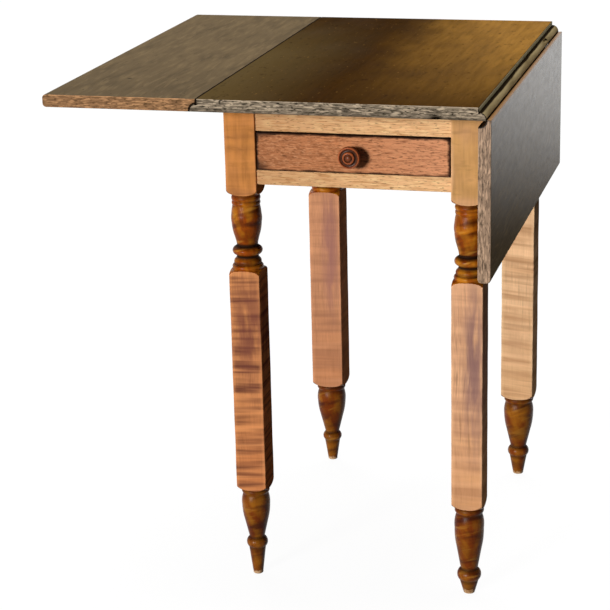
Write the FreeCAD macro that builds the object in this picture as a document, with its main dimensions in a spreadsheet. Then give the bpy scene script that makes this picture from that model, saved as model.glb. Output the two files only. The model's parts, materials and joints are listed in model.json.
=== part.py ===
import FreeCAD, Part
import os
import re

import Sketcher

# Drop-leaf pembroke table: a fixed top on four turned legs, two leaves on rule joints,
# a fly bracket under each leaf and one drawer in the front.
# Millimetres. X runs to the right, Y to the back, Z up. The origin lies on the floor,
# under the middle of the top. The left leaf stands level and the right leaf hangs.

SIZES = {
    # Top and leaves
    "table_height": (720, "floor to the top surface"),
    "board_thickness": (17, "top and leaves"),
    "board_arris": (5, "rounding of a leaf's outer edge"),
    "end_arris": (1.5, "rounding of the front and back edges of the boards"),
    "top_width": (372, "between the two rule-joint lines"),
    "top_depth": (662, "front to back"),
    "leaf_width": (214, "hinge line to outer edge"),
    "chip_reach": (134, "chip in the lower front edge, from the middle"),
    "chip_width": (12, "chip along the edge"),
    "chip_radius": (2.6, "chip depth"),
    # Rule joint and hinges
    "rule_fillet": (6, "square step above the quarter round"),
    "rule_gap": (0.4, "between quarter round and cove"),
    "joint_arris": (0.9, "worn arris along the joint"),
    "pin_rise": (1.5, "hinge pin above the underside of the boards, so that a hanging leaf laps the round"),
    "hinge_inset": (125, "board end to hinge centre"),
    "hinge_width": (38, "hinge along the joint"),
    "hinge_plate": (2, "plate thickness"),
    "hinge_top_reach": (30, "plate on the top, from the pin"),
    "hinge_leaf_reach": (46, "plate on the leaf, from the pin"),
    "hinge_pin_diameter": (3, "iron pin"),
    "knuckle_radius": (2.6, "iron knuckle round the pin"),
    "hinge_gap": (0.4, "running gap round the knuckles"),
    "breakout_width": (27, "worn-through slot over the back right hinge"),
    "breakout_inset": (4.5, "hinge pin to the worn-through slot"),
    "breakout_floor": (6, "underside to the floor of the slot"),
    "plate_fit": (0.1, "plate in its recess"),
    "pin_fit": (0.05, "pin in its hole, on the radius"),
    # Legs
    "leg_inset": (9, "hinge line to the outer face of the legs"),
    "top_overhang": (87, "ends of the top beyond the legs"),
    "leg_square": (43.5, "square of a front leg"),
    "back_leg_square": (50.5, "square of a back leg, cut from stouter stock"),
    "leg_arris": (1.2, "rounding of the leg's corners"),
    "foot_height": (147, "turned foot, up to the square"),
    "bead_height": (14, "bead of the foot"),
    "front_left_bead": (50, "floor to the middle of the bead; each foot was turned by eye"),
    "front_right_bead": (29, "floor to the middle of the bead"),
    "back_left_bead": (42, "floor to the middle of the bead"),
    "back_right_bead": (40, "floor to the middle of the bead"),
    "post_height": (305, "square between the two turnings"),
    "turning_height": (133, "upper turning, up to the block"),
    # Rails and aprons
    "rail_setback": (3, "front rails behind the front of the legs"),
    "rail_arris": (0.8, "rounding of rail and drawer edges"),
    "upper_rail_height": (43, "upper front rail"),
    "upper_rail_thickness": (22, "upper front rail"),
    "drawer_opening": (54, "between the front rails"),
    "lower_rail_height": (20, "lower front rail"),
    "apron_thickness": (18, "side aprons"),
    "back_thickness": (20, "back apron"),
    "back_setback": (8.5, "back apron inside the back of the legs"),
    "tenon_thickness": (8, "tenons of aprons and upper rail"),
    "tenon_length": (20, "tenon into the leg"),
    "tenon_shoulder": (10, "apron edge to tenon"),
    "lower_tenon_inset": (5, "lower rail front to its tenon"),
    "lower_tenon_width": (14, "tenon of the lower rail"),
    "lower_tenon_shoulder": (4.5, "lower rail edge to its tenon"),
    "mortise_fit": (0.1, "tenon in its mortise, each side"),
    "mortise_room": (1, "beyond the end of the tenon"),
    # Fly brackets
    "fly_thickness": (20, "fly rail and bracket"),
    "fly_setback": (1.5, "fly rail inside the outer face of the legs"),
    "fly_height": (60, "fly rail and bracket"),
    "fly_drop": (0.6, "bracket below the boards"),
    "fly_pivot": (50, "knuckle behind the middle of the table"),
    "fly_reach": (165, "knuckle to the bracket's tip"),
    "fly_tip_gap": (1.5, "tip to the fixed rail"),
    "fly_tip_cove": (34, "hollow under the bracket's tip"),
    "fly_pin_diameter": (6, "iron pin of the knuckle"),
    "fly_gap": (0.4, "running gap round the knuckle"),
    "finger_gap": (0.3, "between the fingers of the knuckle"),
    # Drawer and what it runs on
    "drawer_side_gap": (1.2, "drawer to leg"),
    "drawer_head_gap": (2.2, "drawer to upper rail and kickers"),
    "drawer_run_gap": (0.3, "drawer to lower rail and runners"),
    "drawer_back_room": (42.5, "drawer to back apron"),
    "drawer_front_thickness": (19, "drawer front"),
    "drawer_side_thickness": (11, "drawer sides"),
    "drawer_back_thickness": (10, "drawer back"),
    "drawer_back_drop": (5, "back below the top of the sides"),
    "drawer_bottom_thickness": (6, "bottom panel"),
    "drawer_bottom_rise": (8, "bottom panel above the lower edge"),
    "groove_depth": (5, "groove for the bottom panel"),
    "groove_fit": (0.1, "bottom panel in its groove"),
    "dovetail_lap": (5, "drawer front covering the dovetails"),
    "runner_width": (24, "runners and kickers"),
    "runner_height": (16, "runners and kickers"),
    "guide_height": (14, "guides beside the drawer"),
    "stop_width": (24, "drawer stop"),
    "stop_length": (14, "drawer stop, front to back"),
    "stop_height": (4.5, "drawer stop"),
    "stop_inset": (63.5, "leg to the middle of a drawer stop"),
    "stop_gap": (0.3, "drawer front to stop"),
    "knob_diameter": (30, "turned knob"),
    "knob_reach": (25, "knob in front of the drawer"),
    "spigot_diameter": (10, "knob's spigot"),
    "spigot_fit": (0.05, "spigot in its hole, on the radius"),
    # Glue blocks and fasteners
    "block_length": (50, "glue blocks under the top"),
    "block_side": (20, "glue blocks"),
    "block_inset": (98.5, "leg to the middle of a side glue block"),
    "back_block_reach": (60, "back glue blocks from the middle"),
    "screw_fit": (0.05, "screw in its hole, on the radius"),
    "screw_tip_room": (1, "hole beyond the screw"),
    "hinge_screw_length": (11, "hinge screws"),
    "hinge_screw_shank": (3.2, "hinge screws, diameter"),
    "hinge_screw_head": (6.2, "hinge screws, head diameter"),
    "wood_screw_shank": (4.4, "frame screws, diameter"),
    "wood_screw_head": (8.4, "frame screws, head diameter"),
    "top_screw_length": (40, "screws that hold the top"),
    "top_screw_inset": (38.5, "leg to the top screws"),
    "pocket_diameter": (13, "screw pocket in rail and back apron"),
    "pocket_inset": (5, "screw behind the face of its pocket"),
    "pocket_drop": (29, "screw head below the top"),
    "pocket_height": (13, "screw pocket below the head"),
    "fly_screw_length": (30, "screws of the fly rails"),
    "runner_screw_length": (35, "screws of runners and kickers"),
    "runner_screw_inset": (85.5, "leg to the runner screws"),
    "nail_length": (22, "nails of the drawer bottom"),
    "nail_shank": (1.9, "nails, diameter"),
    "nail_head": (3.6, "nail heads, diameter"),
    "nail_inset": (51.75, "drawer side to the outer nails"),
    "overrun": (1, "cuts beyond the face they open"),
}

# Places that follow from the sizes
PLACES = {
    "underside": "table_height - board_thickness",
    "rule_radius": "board_rise - rule_fillet",
    "cove_radius": "rule_radius + rule_gap",
    "board_rise": "board_thickness - pin_rise",
    "pin_x": "top_width / 2",
    "pin_z": "table_height - board_rise",
    "plate_top": "hinge_plate - pin_rise",
    "knuckle_clear": "knuckle_radius + hinge_gap",
    "hinge_y": "top_depth / 2 - hinge_inset",
    "half_leg": "leg_square / 2",
    "leg_outer_x": "pin_x - leg_inset",
    "leg_outer_y": "top_depth / 2 - top_overhang",
    "leg_x": "leg_outer_x - half_leg",
    "leg_y": "leg_outer_y - half_leg",
    "leg_inner_x": "leg_outer_x - leg_square",
    "leg_inner_y": "leg_outer_y - leg_square",
    "half_back_leg": "back_leg_square / 2",
    "back_leg_y": "leg_inner_y + half_back_leg",
    "back_leg_inner_x": "leg_x - half_back_leg",
    "square_top": "foot_height + post_height",
    "block_bottom": "square_top + turning_height",
    "rail_front": "leg_outer_y - rail_setback",
    "opening_top": "underside - upper_rail_height",
    "opening_bottom": "opening_top - drawer_opening",
    "apron_bottom": "opening_bottom - lower_rail_height",
    "fly_outer": "leg_outer_x - fly_setback",
    "fly_inner": "fly_outer - fly_thickness",
    "fly_axis": "fly_outer - fly_thickness / 2",
    "fly_top": "underside - fly_drop",
    "fly_bottom": "fly_top - fly_height",
    "fly_clear": "fly_thickness / 2 + fly_gap",
    "fly_tip": "fly_pivot - fly_reach",
    "apron_inner": "fly_inner - apron_thickness",
    "apron_middle": "fly_inner - apron_thickness / 2",
    "back_outer": "leg_inner_y + back_leg_square - back_setback",
    "back_inner": "back_outer - back_thickness",
    "runner_inner": "apron_inner - runner_width",
    "drawer_half": "leg_inner_x - drawer_side_gap",
    "drawer_inner": "drawer_half - drawer_side_thickness",
    "drawer_base": "opening_bottom + drawer_run_gap",
    "drawer_top": "opening_top - drawer_head_gap",
    "drawer_height": "drawer_top - drawer_base",
    "drawer_shoulder": "drawer_front_thickness - rail_front",
    "drawer_end": "back_inner - drawer_back_room",
    "tail_length": "drawer_front_thickness - dovetail_lap",
    "panel_bottom": "drawer_base + drawer_bottom_rise",
    "panel_top": "panel_bottom + drawer_bottom_thickness",
}

SIDES = {"left": -1, "right": 1}
CORNERS = {
    "leg_front_left": (-1, -1),
    "leg_front_right": (1, -1),
    "leg_back_left": (-1, 1),
    "leg_back_right": (1, 1),
}
HINGE_CENTRES = {"front": "-hinge_y", "back": "hinge_y"}
KNUCKLE_FINGERS = 5

# Turned outlines: radius as a share of half the square, height as a share of a stretch of the leg,
# and the rise of the curve to the next point as a share of its chord, outwards positive.
# The stretches are the tip below the bead, the bead about its middle, the stem from the bead up to
# the square, and the upper turning.
TIP_SHARES = [(0.27, 0.00, 0.20), (0.315, 0.06, 0.00)]
BEAD_SHARES = [(0.53, -0.50, 0.24), (0.49, 0.50, -0.10)]
STEM_SHARES = [
    (0.49, 0.03, 0.00), (0.76, 0.31, 0.03), (0.92, 0.57, 0.06), (0.83, 0.765, 0.00),
    (0.84, 0.780, 0.24), (0.84, 0.862, 0.00), (0.87, 0.873, 0.20),
]
TURNING_SHARES = [
    (1.45, 0.000, 0.20), (0.99, 0.078, 0.00), (0.95, 0.081, 0.25), (0.91, 0.126, 0.00),
    (0.84, 0.130, 0.20), (0.79, 0.184, 0.00), (0.70, 0.202, 0.00), (0.70, 0.218, 0.00),
    (0.81, 0.234, 0.33), (0.81, 0.310, 0.00), (0.66, 0.330, -0.02), (0.83, 0.444, 0.03),
    (0.96, 0.569, 0.05), (0.96, 0.663, 0.02), (0.88, 0.752, 0.00), (0.86, 0.760, 0.20),
    (0.86, 0.806, 0.20), (0.86, 0.862, 0.00), (0.90, 0.878, 0.21),
]
SQUARE_SHARE = 1.45

# How full the bead, neck and tip of each foot are, as shares of the outlines above
FULL_SHARES = {"front_left": 1.06, "front_right": 1.18, "back_left": 0.94, "back_right": 1.04}

# Knob outline: radius as a share of half its diameter, distance in front of the drawer as a share
# of its reach, and the rise of the curve to the next point
KNOB_SHARES = [
    (0.74, 0.00, 0.20), (0.70, 0.13, 0.00), (0.52, 0.17, -0.16), (0.56, 0.50, -0.10),
    (0.88, 0.60, 0.28), (0.975, 0.74, 0.26), (0.86, 0.88, 0.00), (0.78, 0.82, -0.20),
    (0.56, 0.84, 0.22), (0.40, 0.96, 0.00), (0.34, 0.90, 0.10), (0.06, 1.00, 0.00),
]

# Dovetails of a drawer side, as shares of its height: narrow lower edge, narrow upper edge and
# how much each edge spreads towards the end of the tail
FRONT_TAIL_SHARES = [(0.13, 0.41), (0.59, 0.87)]
BACK_TAIL_SHARES = [(0.37, 0.53), (0.70, 0.84)]
TAIL_SPREAD_SHARE = 0.035

# Screws of a hinge plate: reach as a share of the plate's free length, place across as a share
# of its width
PLATE_SCREW_SHARES = [(0.62, -0.32), (0.38, 0.0), (0.62, 0.32)]

# Screws of a fly rail: places along it as shares of its length, and their rise as a share of its height
FLY_SCREW_SHARES = (0.25, 0.75)
FLY_SCREW_RISE_SHARE = 0.2

# Depth of a screw's head as a share of its diameter
SCREW_HEAD_SHARE = 0.5

PIECES = []


# Formulas and the sheet

def ex(text):
    """Write a formula in the sheet's terms: places are opened up and sizes get the sheet's name."""
    def word(match):
        name = match.group()
        if name in PLACES:
            return "(" + ex(PLACES[name]) + ")"
        return "dims." + name if name in SIZES else name
    return re.sub(r"[a-z][a-z_]*", word, text)


def value(text):
    """Work out a formula with the sheet's present sizes."""
    return float(sheet.evalExpression(ex(text)))


def make_sheet():
    """Enter each driving size in the sheet, with its meaning and its alias."""
    table = doc.addObject("Spreadsheet::Sheet", "dims")
    for row, (alias, (size, meaning)) in enumerate(SIZES.items(), 1):
        table.set(f"A{row}", meaning)
        table.set(f"B{row}", str(size))
        table.setAlias(f"B{row}", alias)
    doc.recompute()
    return table


def span(side, near, far):
    """The stretch between two distances from the middle, on the left (-1) or right (1) side."""
    return (near, far) if side > 0 else (f"-({far})", f"-({near})")


def about(middle, half):
    """The stretch that reaches as far to both sides of a place."""
    return (f"{middle} - ({half})", f"{middle} + ({half})")


# Solids

def place(item, spot):
    """Bind an object's place to three formulas."""
    for axis, text in zip("xyz", spot):
        item.setExpression(f"Placement.Base.{axis}", ex(text))


def box(name, x, y, z):
    """A block between two formulas along each axis."""
    item = doc.addObject("Part::Box", name)
    for side, (start, end) in zip(("Length", "Width", "Height"), (x, y, z)):
        item.setExpression(side, ex(f"({end}) - ({start})"))
    place(item, (x[0], y[0], z[0]))
    return item


TURNS = {
    "+z": FreeCAD.Rotation(),
    "+x": FreeCAD.Rotation(FreeCAD.Vector(0, 1, 0), 90),
    "-x": FreeCAD.Rotation(FreeCAD.Vector(0, 1, 0), -90),
    "+y": FreeCAD.Rotation(FreeCAD.Vector(1, 0, 0), -90),
    "-y": FreeCAD.Rotation(FreeCAD.Vector(1, 0, 0), 90),
}


def rod(name, radius, length, spot, towards="+z"):
    """A cylinder that starts at a spot and points along an axis."""
    item = doc.addObject("Part::Cylinder", name)
    item.setExpression("Radius", ex(radius))
    item.setExpression("Height", ex(length))
    item.Placement = FreeCAD.Placement(FreeCAD.Vector(), TURNS[towards])
    place(item, spot)
    return item


def taper(name, start_radius, end_radius, length, spot, towards="+z"):
    """A cone that starts at a spot and points along an axis."""
    item = doc.addObject("Part::Cone", name)
    item.setExpression("Radius1", ex(start_radius))
    item.setExpression("Radius2", ex(end_radius))
    item.setExpression("Height", ex(length))
    item.Placement = FreeCAD.Placement(FreeCAD.Vector(), TURNS[towards])
    place(item, spot)
    return item


def fuse(name, solids):
    """One solid from several."""
    if len(solids) == 1:
        return solids[0]
    item = doc.addObject("Part::MultiFuse", name)
    item.Shapes = solids
    item.Refine = True
    return item


def cut(name, base, tools):
    """A solid with several others taken out of it."""
    item = doc.addObject("Part::Cut", name)
    item.Base = base
    item.Tool = fuse(name + "_cuts", tools)
    item.Refine = True
    return item


def group(name, solids):
    """Separate solids that share one node."""
    item = doc.addObject("Part::Compound", name)
    item.Links = solids
    return item


def keep(label, item):
    """Give a finished sub-part its label and put it on the list to write."""
    item.Label = label
    PIECES.append(item)
    return item


# Sketched bodies

def outline(body, role, name, corners):
    """Sketch a closed outline on one of the body's planes.

    A corner is (across, up, curve). The curve to the next corner is 0 for a straight line, the rise
    of an arc as a share of its chord, or (radius, 1 or -1) for an arc of a stated radius.
    Arcs swell to the right of the way round when positive.
    """
    plane = [feature for feature in body.Origin.OriginFeatures if feature.Role == role][0]
    sketch = body.newObject("Sketcher::SketchObject", name)
    sketch.AttachmentSupport = (plane, [""])
    sketch.MapMode = "FlatFace"
    spots = [FreeCAD.Vector(value(across), value(up), 0) for across, up, _ in corners]
    lines = []
    ends = []
    radii = {}
    for index, (across, up, curve) in enumerate(corners):
        next_across, next_up, _ = corners[(index + 1) % len(corners)]
        start, end = spots[index], spots[(index + 1) % len(corners)]
        chord = (end - start).Length
        if not curve:
            lines.append(Part.LineSegment(start, end))
            ends.append((1, 2))
            continue
        if isinstance(curve, tuple):
            radii[index], swell = curve
            radius = value(radii[index])
            rise = swell * (radius - (radius ** 2 - chord ** 2 / 4) ** 0.5)
        else:
            radii[index] = (f"sqrt(({next_across} - ({across}))^2 + ({next_up} - ({up}))^2)"
                            f" * {(1 + 4 * curve ** 2) / (8 * abs(curve))}")
            rise = curve * chord
        along = (end - start) / chord
        middle = (start + end) / 2 + FreeCAD.Vector(along.y, -along.x, 0) * rise
        lines.append(Part.Arc(start, middle, end))
        ends.append((1, 2) if rise > 0 else (2, 1))
    ties = []
    formulas = []
    for index, (across, up, _) in enumerate(corners):
        ties.append(Sketcher.Constraint("DistanceX", -1, 1, index, ends[index][0], spots[index].x))
        ties.append(Sketcher.Constraint("DistanceY", -1, 1, index, ends[index][0], spots[index].y))
        formulas += [across, up]
    for index, radius in radii.items():
        ties.append(Sketcher.Constraint("Radius", index, value(radius)))
        formulas.append(radius)
    for index, (_, last) in enumerate(ends):
        following = (index + 1) % len(corners)
        ties.append(Sketcher.Constraint("Coincident", index, last, following, ends[following][0]))
    sketch.addGeometry(lines)
    sketch.addConstraint(ties)
    for number, text in enumerate(formulas):
        sketch.setExpression(f"Constraints[{number}]", ex(text))
    return sketch


def padded(name, role, corners, length):
    """A body whose outline is carried as far to both sides of its plane."""
    body = doc.addObject("PartDesign::Body", name)
    pad = body.newObject("PartDesign::Pad", name + "_pad")
    pad.Profile = outline(body, role, name + "_outline", corners)
    pad.SideType = "Symmetric"
    pad.setExpression("Length", ex(length))
    body.Tip = pad
    return body


def turned(name, corners):
    """A body whose outline is turned about its upright axis."""
    body = doc.addObject("PartDesign::Body", name)
    turning = body.newObject("PartDesign::Revolution", name + "_turning")
    sketch = outline(body, "XZ_Plane", name + "_outline", corners)
    turning.Profile = sketch
    turning.ReferenceAxis = (sketch, ["V_Axis"])
    body.Tip = turning
    return body


def soften(body, radius, wanted):
    """Round the edges of a body that a test picks out."""
    doc.recompute()
    pad = body.Tip
    names = [f"Edge{number}" for number, edge in enumerate(pad.Shape.Edges, 1) if wanted(edge)]
    rounding = body.newObject("PartDesign::Fillet", body.Name + "_arris")
    rounding.Base = (pad, names)
    rounding.setExpression("Radius", ex(radius))
    body.Tip = rounding
    return body


def rectangle(x, z):
    """The four corners of a plain outline."""
    return [(x[0], z[0], 0), (x[1], z[0], 0), (x[1], z[1], 0), (x[0], z[1], 0)]


def lies_along(edge, axis):
    """True for a straight edge that runs along X (0), Y (1) or Z (2)."""
    run = edge.Vertexes[-1].Point - edge.Vertexes[0].Point
    return len(edge.Vertexes) == 2 and abs(run[axis]) > 0.999 * edge.Length


# Screws and nails

def screw(name, kind, length, spot, towards="+z"):
    """A countersunk screw or nail whose head is flush at a spot, and the hole that takes it."""
    solids = []
    for tag, fit, room in (("", "", ""), ("_hole", " + screw_fit", " + screw_tip_room")):
        shank = f"{kind}_shank / 2{fit}"
        head = f"{kind}_head / 2{fit}"
        head_height = f"{kind}_head * {SCREW_HEAD_SHARE}"
        solids.append(fuse(name + tag, [
            taper(name + tag + "_head", head, shank, head_height, spot, towards),
            rod(name + tag + "_shank", shank, f"{length}{room}", spot, towards),
        ]))
    return solids


def screws(name, kind, length, spots, towards="+z"):
    """A set of like screws: the screws and their holes."""
    pairs = [screw(f"{name}_{count}", kind, length, spot, towards) for count, spot in enumerate(spots, 1)]
    return [pair[0] for pair in pairs], [pair[1] for pair in pairs]


# Top and leaves

def plate_screws(name, reach, side, start_x, centre, height):
    """The screws of one hinge plate, and their holes."""
    spots = [
        (f"{start_x} + {side} * (knuckle_clear + ({reach} - knuckle_clear) * {along})",
         f"{centre} + hinge_width * {across}", height)
        for along, across in PLATE_SCREW_SHARES
    ]
    return screws(name, "hinge_screw", "hinge_screw_length", spots)


def make_top(cuts):
    """The fixed top: a quarter round on both long edges and the recesses of the hinges."""
    edge_x = "sqrt(rule_radius^2 - pin_rise^2)"
    step_z = "table_height - rule_fillet"
    corners = [
        (f"pin_x + {edge_x}", "underside", ("rule_radius", 1)),
        ("pin_x", step_z, 0),
        ("pin_x", "table_height - joint_arris", ("joint_arris", 1)),
        ("pin_x - joint_arris", "table_height", 0),
        ("joint_arris - pin_x", "table_height", ("joint_arris", 1)),
        ("-pin_x", "table_height - joint_arris", 0),
        ("-pin_x", step_z, ("rule_radius", 1)),
        (f"-pin_x - {edge_x}", "underside", 0),
    ]
    board = padded("top_blank", "XZ_Plane", corners, "top_depth")
    end = value("top_depth / 2")
    soften(board, "end_arris", lambda edge: (
        lies_along(edge, 0) and abs(abs(edge.CenterOfMass.y) - end) < value("end_arris")))
    tools = [rod("top_chip", "chip_radius", "chip_width", (
        "chip_reach", "-top_depth / 2", "underside"), "+x")]
    for name, side in SIDES.items():
        for hand, centre in HINGE_CENTRES.items():
            wide = about(centre, "hinge_width / 2 + plate_fit")
            tools.append(box(f"top_plate_seat_{name}_{hand}", span(
                side, "pin_x - hinge_top_reach - plate_fit", "pin_x"), wide,
                ("underside - overrun", "underside + hinge_plate")))
            tools.append(box(f"top_knuckle_seat_{name}_{hand}", span(
                side, "pin_x - knuckle_clear", "pin_x + knuckle_clear"), wide,
                ("underside - overrun", "pin_z + knuckle_clear")))
            tools.append(box(f"top_plate_way_{name}_{hand}", span(
                side, "pin_x", "pin_x + rule_radius + overrun"), wide,
                ("underside - overrun", "underside + hinge_plate + hinge_gap")))
        tools += make_top_plates(name, side)
    tools.append(box("top_breakout", ("pin_x + breakout_inset", "pin_x + rule_radius + overrun"),
                     about("hinge_y", "breakout_width / 2"), ("underside + breakout_floor", "table_height")))
    tools += make_top_screws(cuts)
    keep("top_board", cut("top_cut", board, tools))


def make_top_plates(name, side):
    """The plates on the fixed top, with the two outer knuckles, their screws and the pins."""
    plates = []
    pins = []
    all_screws = []
    all_holes = []
    for hand, centre in HINGE_CENTRES.items():
        tag = f"{name}_{hand}"
        solids = [box(f"top_plate_{tag}", span(side, "pin_x - hinge_top_reach", "pin_x - knuckle_clear"),
                      about(centre, "hinge_width / 2"), ("underside", "underside + hinge_plate"))]
        knuckle = "hinge_width / 3 - hinge_gap"
        for end, lower in (("near", f"{centre} - hinge_width / 2"),
                           ("far", f"{centre} + hinge_width / 6 + hinge_gap")):
            solids.append(box(f"top_plate_{tag}_{end}_neck", span(side, "pin_x - knuckle_clear", "pin_x"),
                              (lower, f"{lower} + {knuckle}"), ("underside", "underside + hinge_plate")))
            solids.append(rod(f"top_plate_{tag}_{end}_knuckle", "knuckle_radius", knuckle,
                              (f"{side} * pin_x", lower, "pin_z"), "+y"))
        bore = rod(f"top_plate_{tag}_bore", "hinge_pin_diameter / 2 + pin_fit", "hinge_width + 2 * overrun",
                   (f"{side} * pin_x", f"{centre} - hinge_width / 2 - overrun", "pin_z"), "+y")
        own_screws, holes = plate_screws(f"top_plate_{tag}_screw", "hinge_top_reach", -side,
                                         f"{side} * pin_x", centre, "underside")
        plates.append(cut(f"top_plate_{tag}_cut", fuse(f"top_plate_{tag}_joined", solids), [bore] + holes))
        pins.append(rod(f"hinge_pin_{tag}", "hinge_pin_diameter / 2", "hinge_width",
                        (f"{side} * pin_x", f"{centre} - hinge_width / 2", "pin_z"), "+y"))
        all_screws += own_screws
        all_holes += holes
    keep(f"{name}_hinge_top_plates", group(f"{name}_top_plates", plates))
    keep(f"{name}_hinge_top_screws", group(f"{name}_top_plate_screws", all_screws))
    keep(f"{name}_hinge_pins", group(f"{name}_pins", pins))
    return all_holes


def make_leaf(name, side):
    """A leaf with its cove, drawn from the hinge pin outwards, and the hinge plates it carries.

    The left leaf stands level. The right one is turned a quarter turn about the pin, so it hangs.
    """
    hanging = side > 0
    inner = "sqrt(cove_radius^2 - pin_rise^2)"
    lip = "sqrt(cove_radius^2 - rule_gap^2)"
    points = [
        (inner, "-pin_rise", 0),
        ("leaf_width - board_arris", "-pin_rise", ("board_arris", side)),
        ("leaf_width", "board_arris - pin_rise", 0),
        ("leaf_width", "board_rise - board_arris", ("board_arris", side)),
        ("leaf_width - board_arris", "board_rise", 0),
        ("rule_gap + joint_arris", "board_rise", ("joint_arris", side)),
        ("rule_gap", "board_rise - joint_arris", 0),
        ("rule_gap", lip, ("cove_radius", -side)),
    ]
    corners = [(f"{side} * ({across})", up, curve) for across, up, curve in points]
    board = padded(f"{name}_leaf_blank", "XZ_Plane", corners, "top_depth")
    end = value("top_depth / 2")
    soften(board, "end_arris", lambda edge: (
        lies_along(edge, 0) and abs(abs(edge.CenterOfMass.y) - end) < value("end_arris")))
    tools = []
    plates = []
    all_screws = []
    for hand, centre in HINGE_CENTRES.items():
        tag = f"{name}_{hand}"
        tools.append(box(f"leaf_plate_seat_{tag}", span(
            side, "rule_radius", "hinge_leaf_reach + plate_fit"),
            about(centre, "hinge_width / 2 + plate_fit"), ("-pin_rise - overrun", "plate_top")))
        middle = about(centre, "hinge_width / 6")
        parts = [
            box(f"leaf_plate_{tag}", span(side, "knuckle_clear", "hinge_leaf_reach"),
                about(centre, "hinge_width / 2"), ("-pin_rise", "plate_top")),
            box(f"leaf_plate_{tag}_neck", span(side, "0", "knuckle_clear"), middle,
                ("-pin_rise", "plate_top")),
            rod(f"leaf_plate_{tag}_knuckle", "knuckle_radius", "hinge_width / 3",
                ("0", middle[0], "0"), "+y"),
        ]
        bore = rod(f"leaf_plate_{tag}_bore", "hinge_pin_diameter / 2 + pin_fit", "hinge_width + 2 * overrun",
                   ("0", f"{centre} - hinge_width / 2 - overrun", "0"), "+y")
        own_screws, holes = plate_screws(f"leaf_plate_{tag}_screw", "hinge_leaf_reach", side,
                                         "0", centre, "-pin_rise")
        plates.append(cut(f"leaf_plate_{tag}_cut", fuse(f"leaf_plate_{tag}_joined", parts), [bore] + holes))
        all_screws += own_screws
        tools += holes
    leaf_pieces = {
        f"{name}_leaf": cut(f"{name}_leaf_cut", board, tools),
        f"{name}_hinge_leaf_plates": group(f"{name}_leaf_plates", plates),
        f"{name}_hinge_leaf_screws": group(f"{name}_leaf_plate_screws", all_screws),
    }
    for label, item in leaf_pieces.items():
        item.Placement = FreeCAD.Placement(FreeCAD.Vector(), TURNS["+x" if hanging else "+z"])
        place(item, (f"{side} * pin_x", "0", "pin_z"))
        keep(label, item)


# Legs, rails and aprons

def leg_outline(foot, half):
    """Half the section of a leg, from the floor up; its foot has a bead and a fullness of its own."""
    full = FULL_SHARES[foot]
    bead = f"{foot}_bead"
    bead_bottom = f"({bead} - bead_height * {full} / 2)"
    bead_top = f"({bead} + bead_height * {full} / 2)"
    tip, band = ([(radius * full, height, rise) for radius, height, rise in shares]
                 for shares in (TIP_SHARES, BEAD_SHARES))
    stem = [(radius * (1 + (full - 1) * (1 - height) ** 2), height, rise)
            for radius, height, rise in STEM_SHARES]
    stretches = [
        (tip, "0", bead_bottom),
        (band, bead, f"(bead_height * {full})"),
        (stem, bead_top, f"(foot_height - {bead_top})"),
        ([(SQUARE_SHARE, 0, 0)], "foot_height", "post_height"),
        (TURNING_SHARES, "square_top", "turning_height"),
        ([(SQUARE_SHARE, 0, 0)], "block_bottom", "turning_height"),
        ([(SQUARE_SHARE, 0, 0)], "underside", "turning_height"),
    ]
    corners = [("0", "0", 0)]
    for shares, start, length in stretches:
        corners += [(f"{half} * {radius}", f"{start} + {length} * {height}", rise)
                    for radius, height, rise in shares]
    return corners + [("0", "underside", 0)]


def make_legs(mortises):
    """Four legs: a turned outline cut to the square, with the mortises of the rails."""
    rows = {-1: ("front", "half_leg", "-leg_y"), 1: ("back", "half_back_leg", "back_leg_y")}
    squares = {}
    for y_side, (row, half, _) in rows.items():
        flat = f"{half} - leg_arris"
        ring = []
        for x_sign, y_sign in ((1, -1), (1, 1), (-1, 1), (-1, -1)):
            along_y = (f"{x_sign} * ({flat})", f"{y_sign} * {half}")
            along_x = (f"{x_sign} * {half}", f"{y_sign} * ({flat})")
            first, second = (along_y, along_x) if x_sign * y_sign < 0 else (along_x, along_y)
            ring += [(*first, ("leg_arris", 1)), (*second, 0)]
        squares[y_side] = padded(f"{row}_leg_square_blank", "XY_Plane", ring, "2 * underside")
    for label, (x_side, y_side) in CORNERS.items():
        _, half, y = rows[y_side]
        shape = doc.addObject("Part::Common", f"{label}_shape")
        shape.Base = turned(f"{label}_turned", leg_outline(label.replace("leg_", ""), half))
        shape.Tool = squares[y_side]
        place(shape, (f"{x_side} * leg_x", y, "0"))
        keep(label, cut(f"{label}_cut", shape, mortises[label]))


def tenon(name, x, y, z, along, sign):
    """A tenon, and its mortise with room at the sides and at the end."""
    solid = box(name, x, y, z)
    spans = []
    for axis, (start, end) in zip("xyz", (x, y, z)):
        if axis == along:
            end = f"{end} + mortise_room" if sign > 0 else end
            start = f"{start} - mortise_room" if sign < 0 else start
            spans.append((start, end))
        else:
            spans.append((f"{start} - mortise_fit", f"{end} + mortise_fit"))
    return solid, box(name + "_mortise", *spans)


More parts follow.
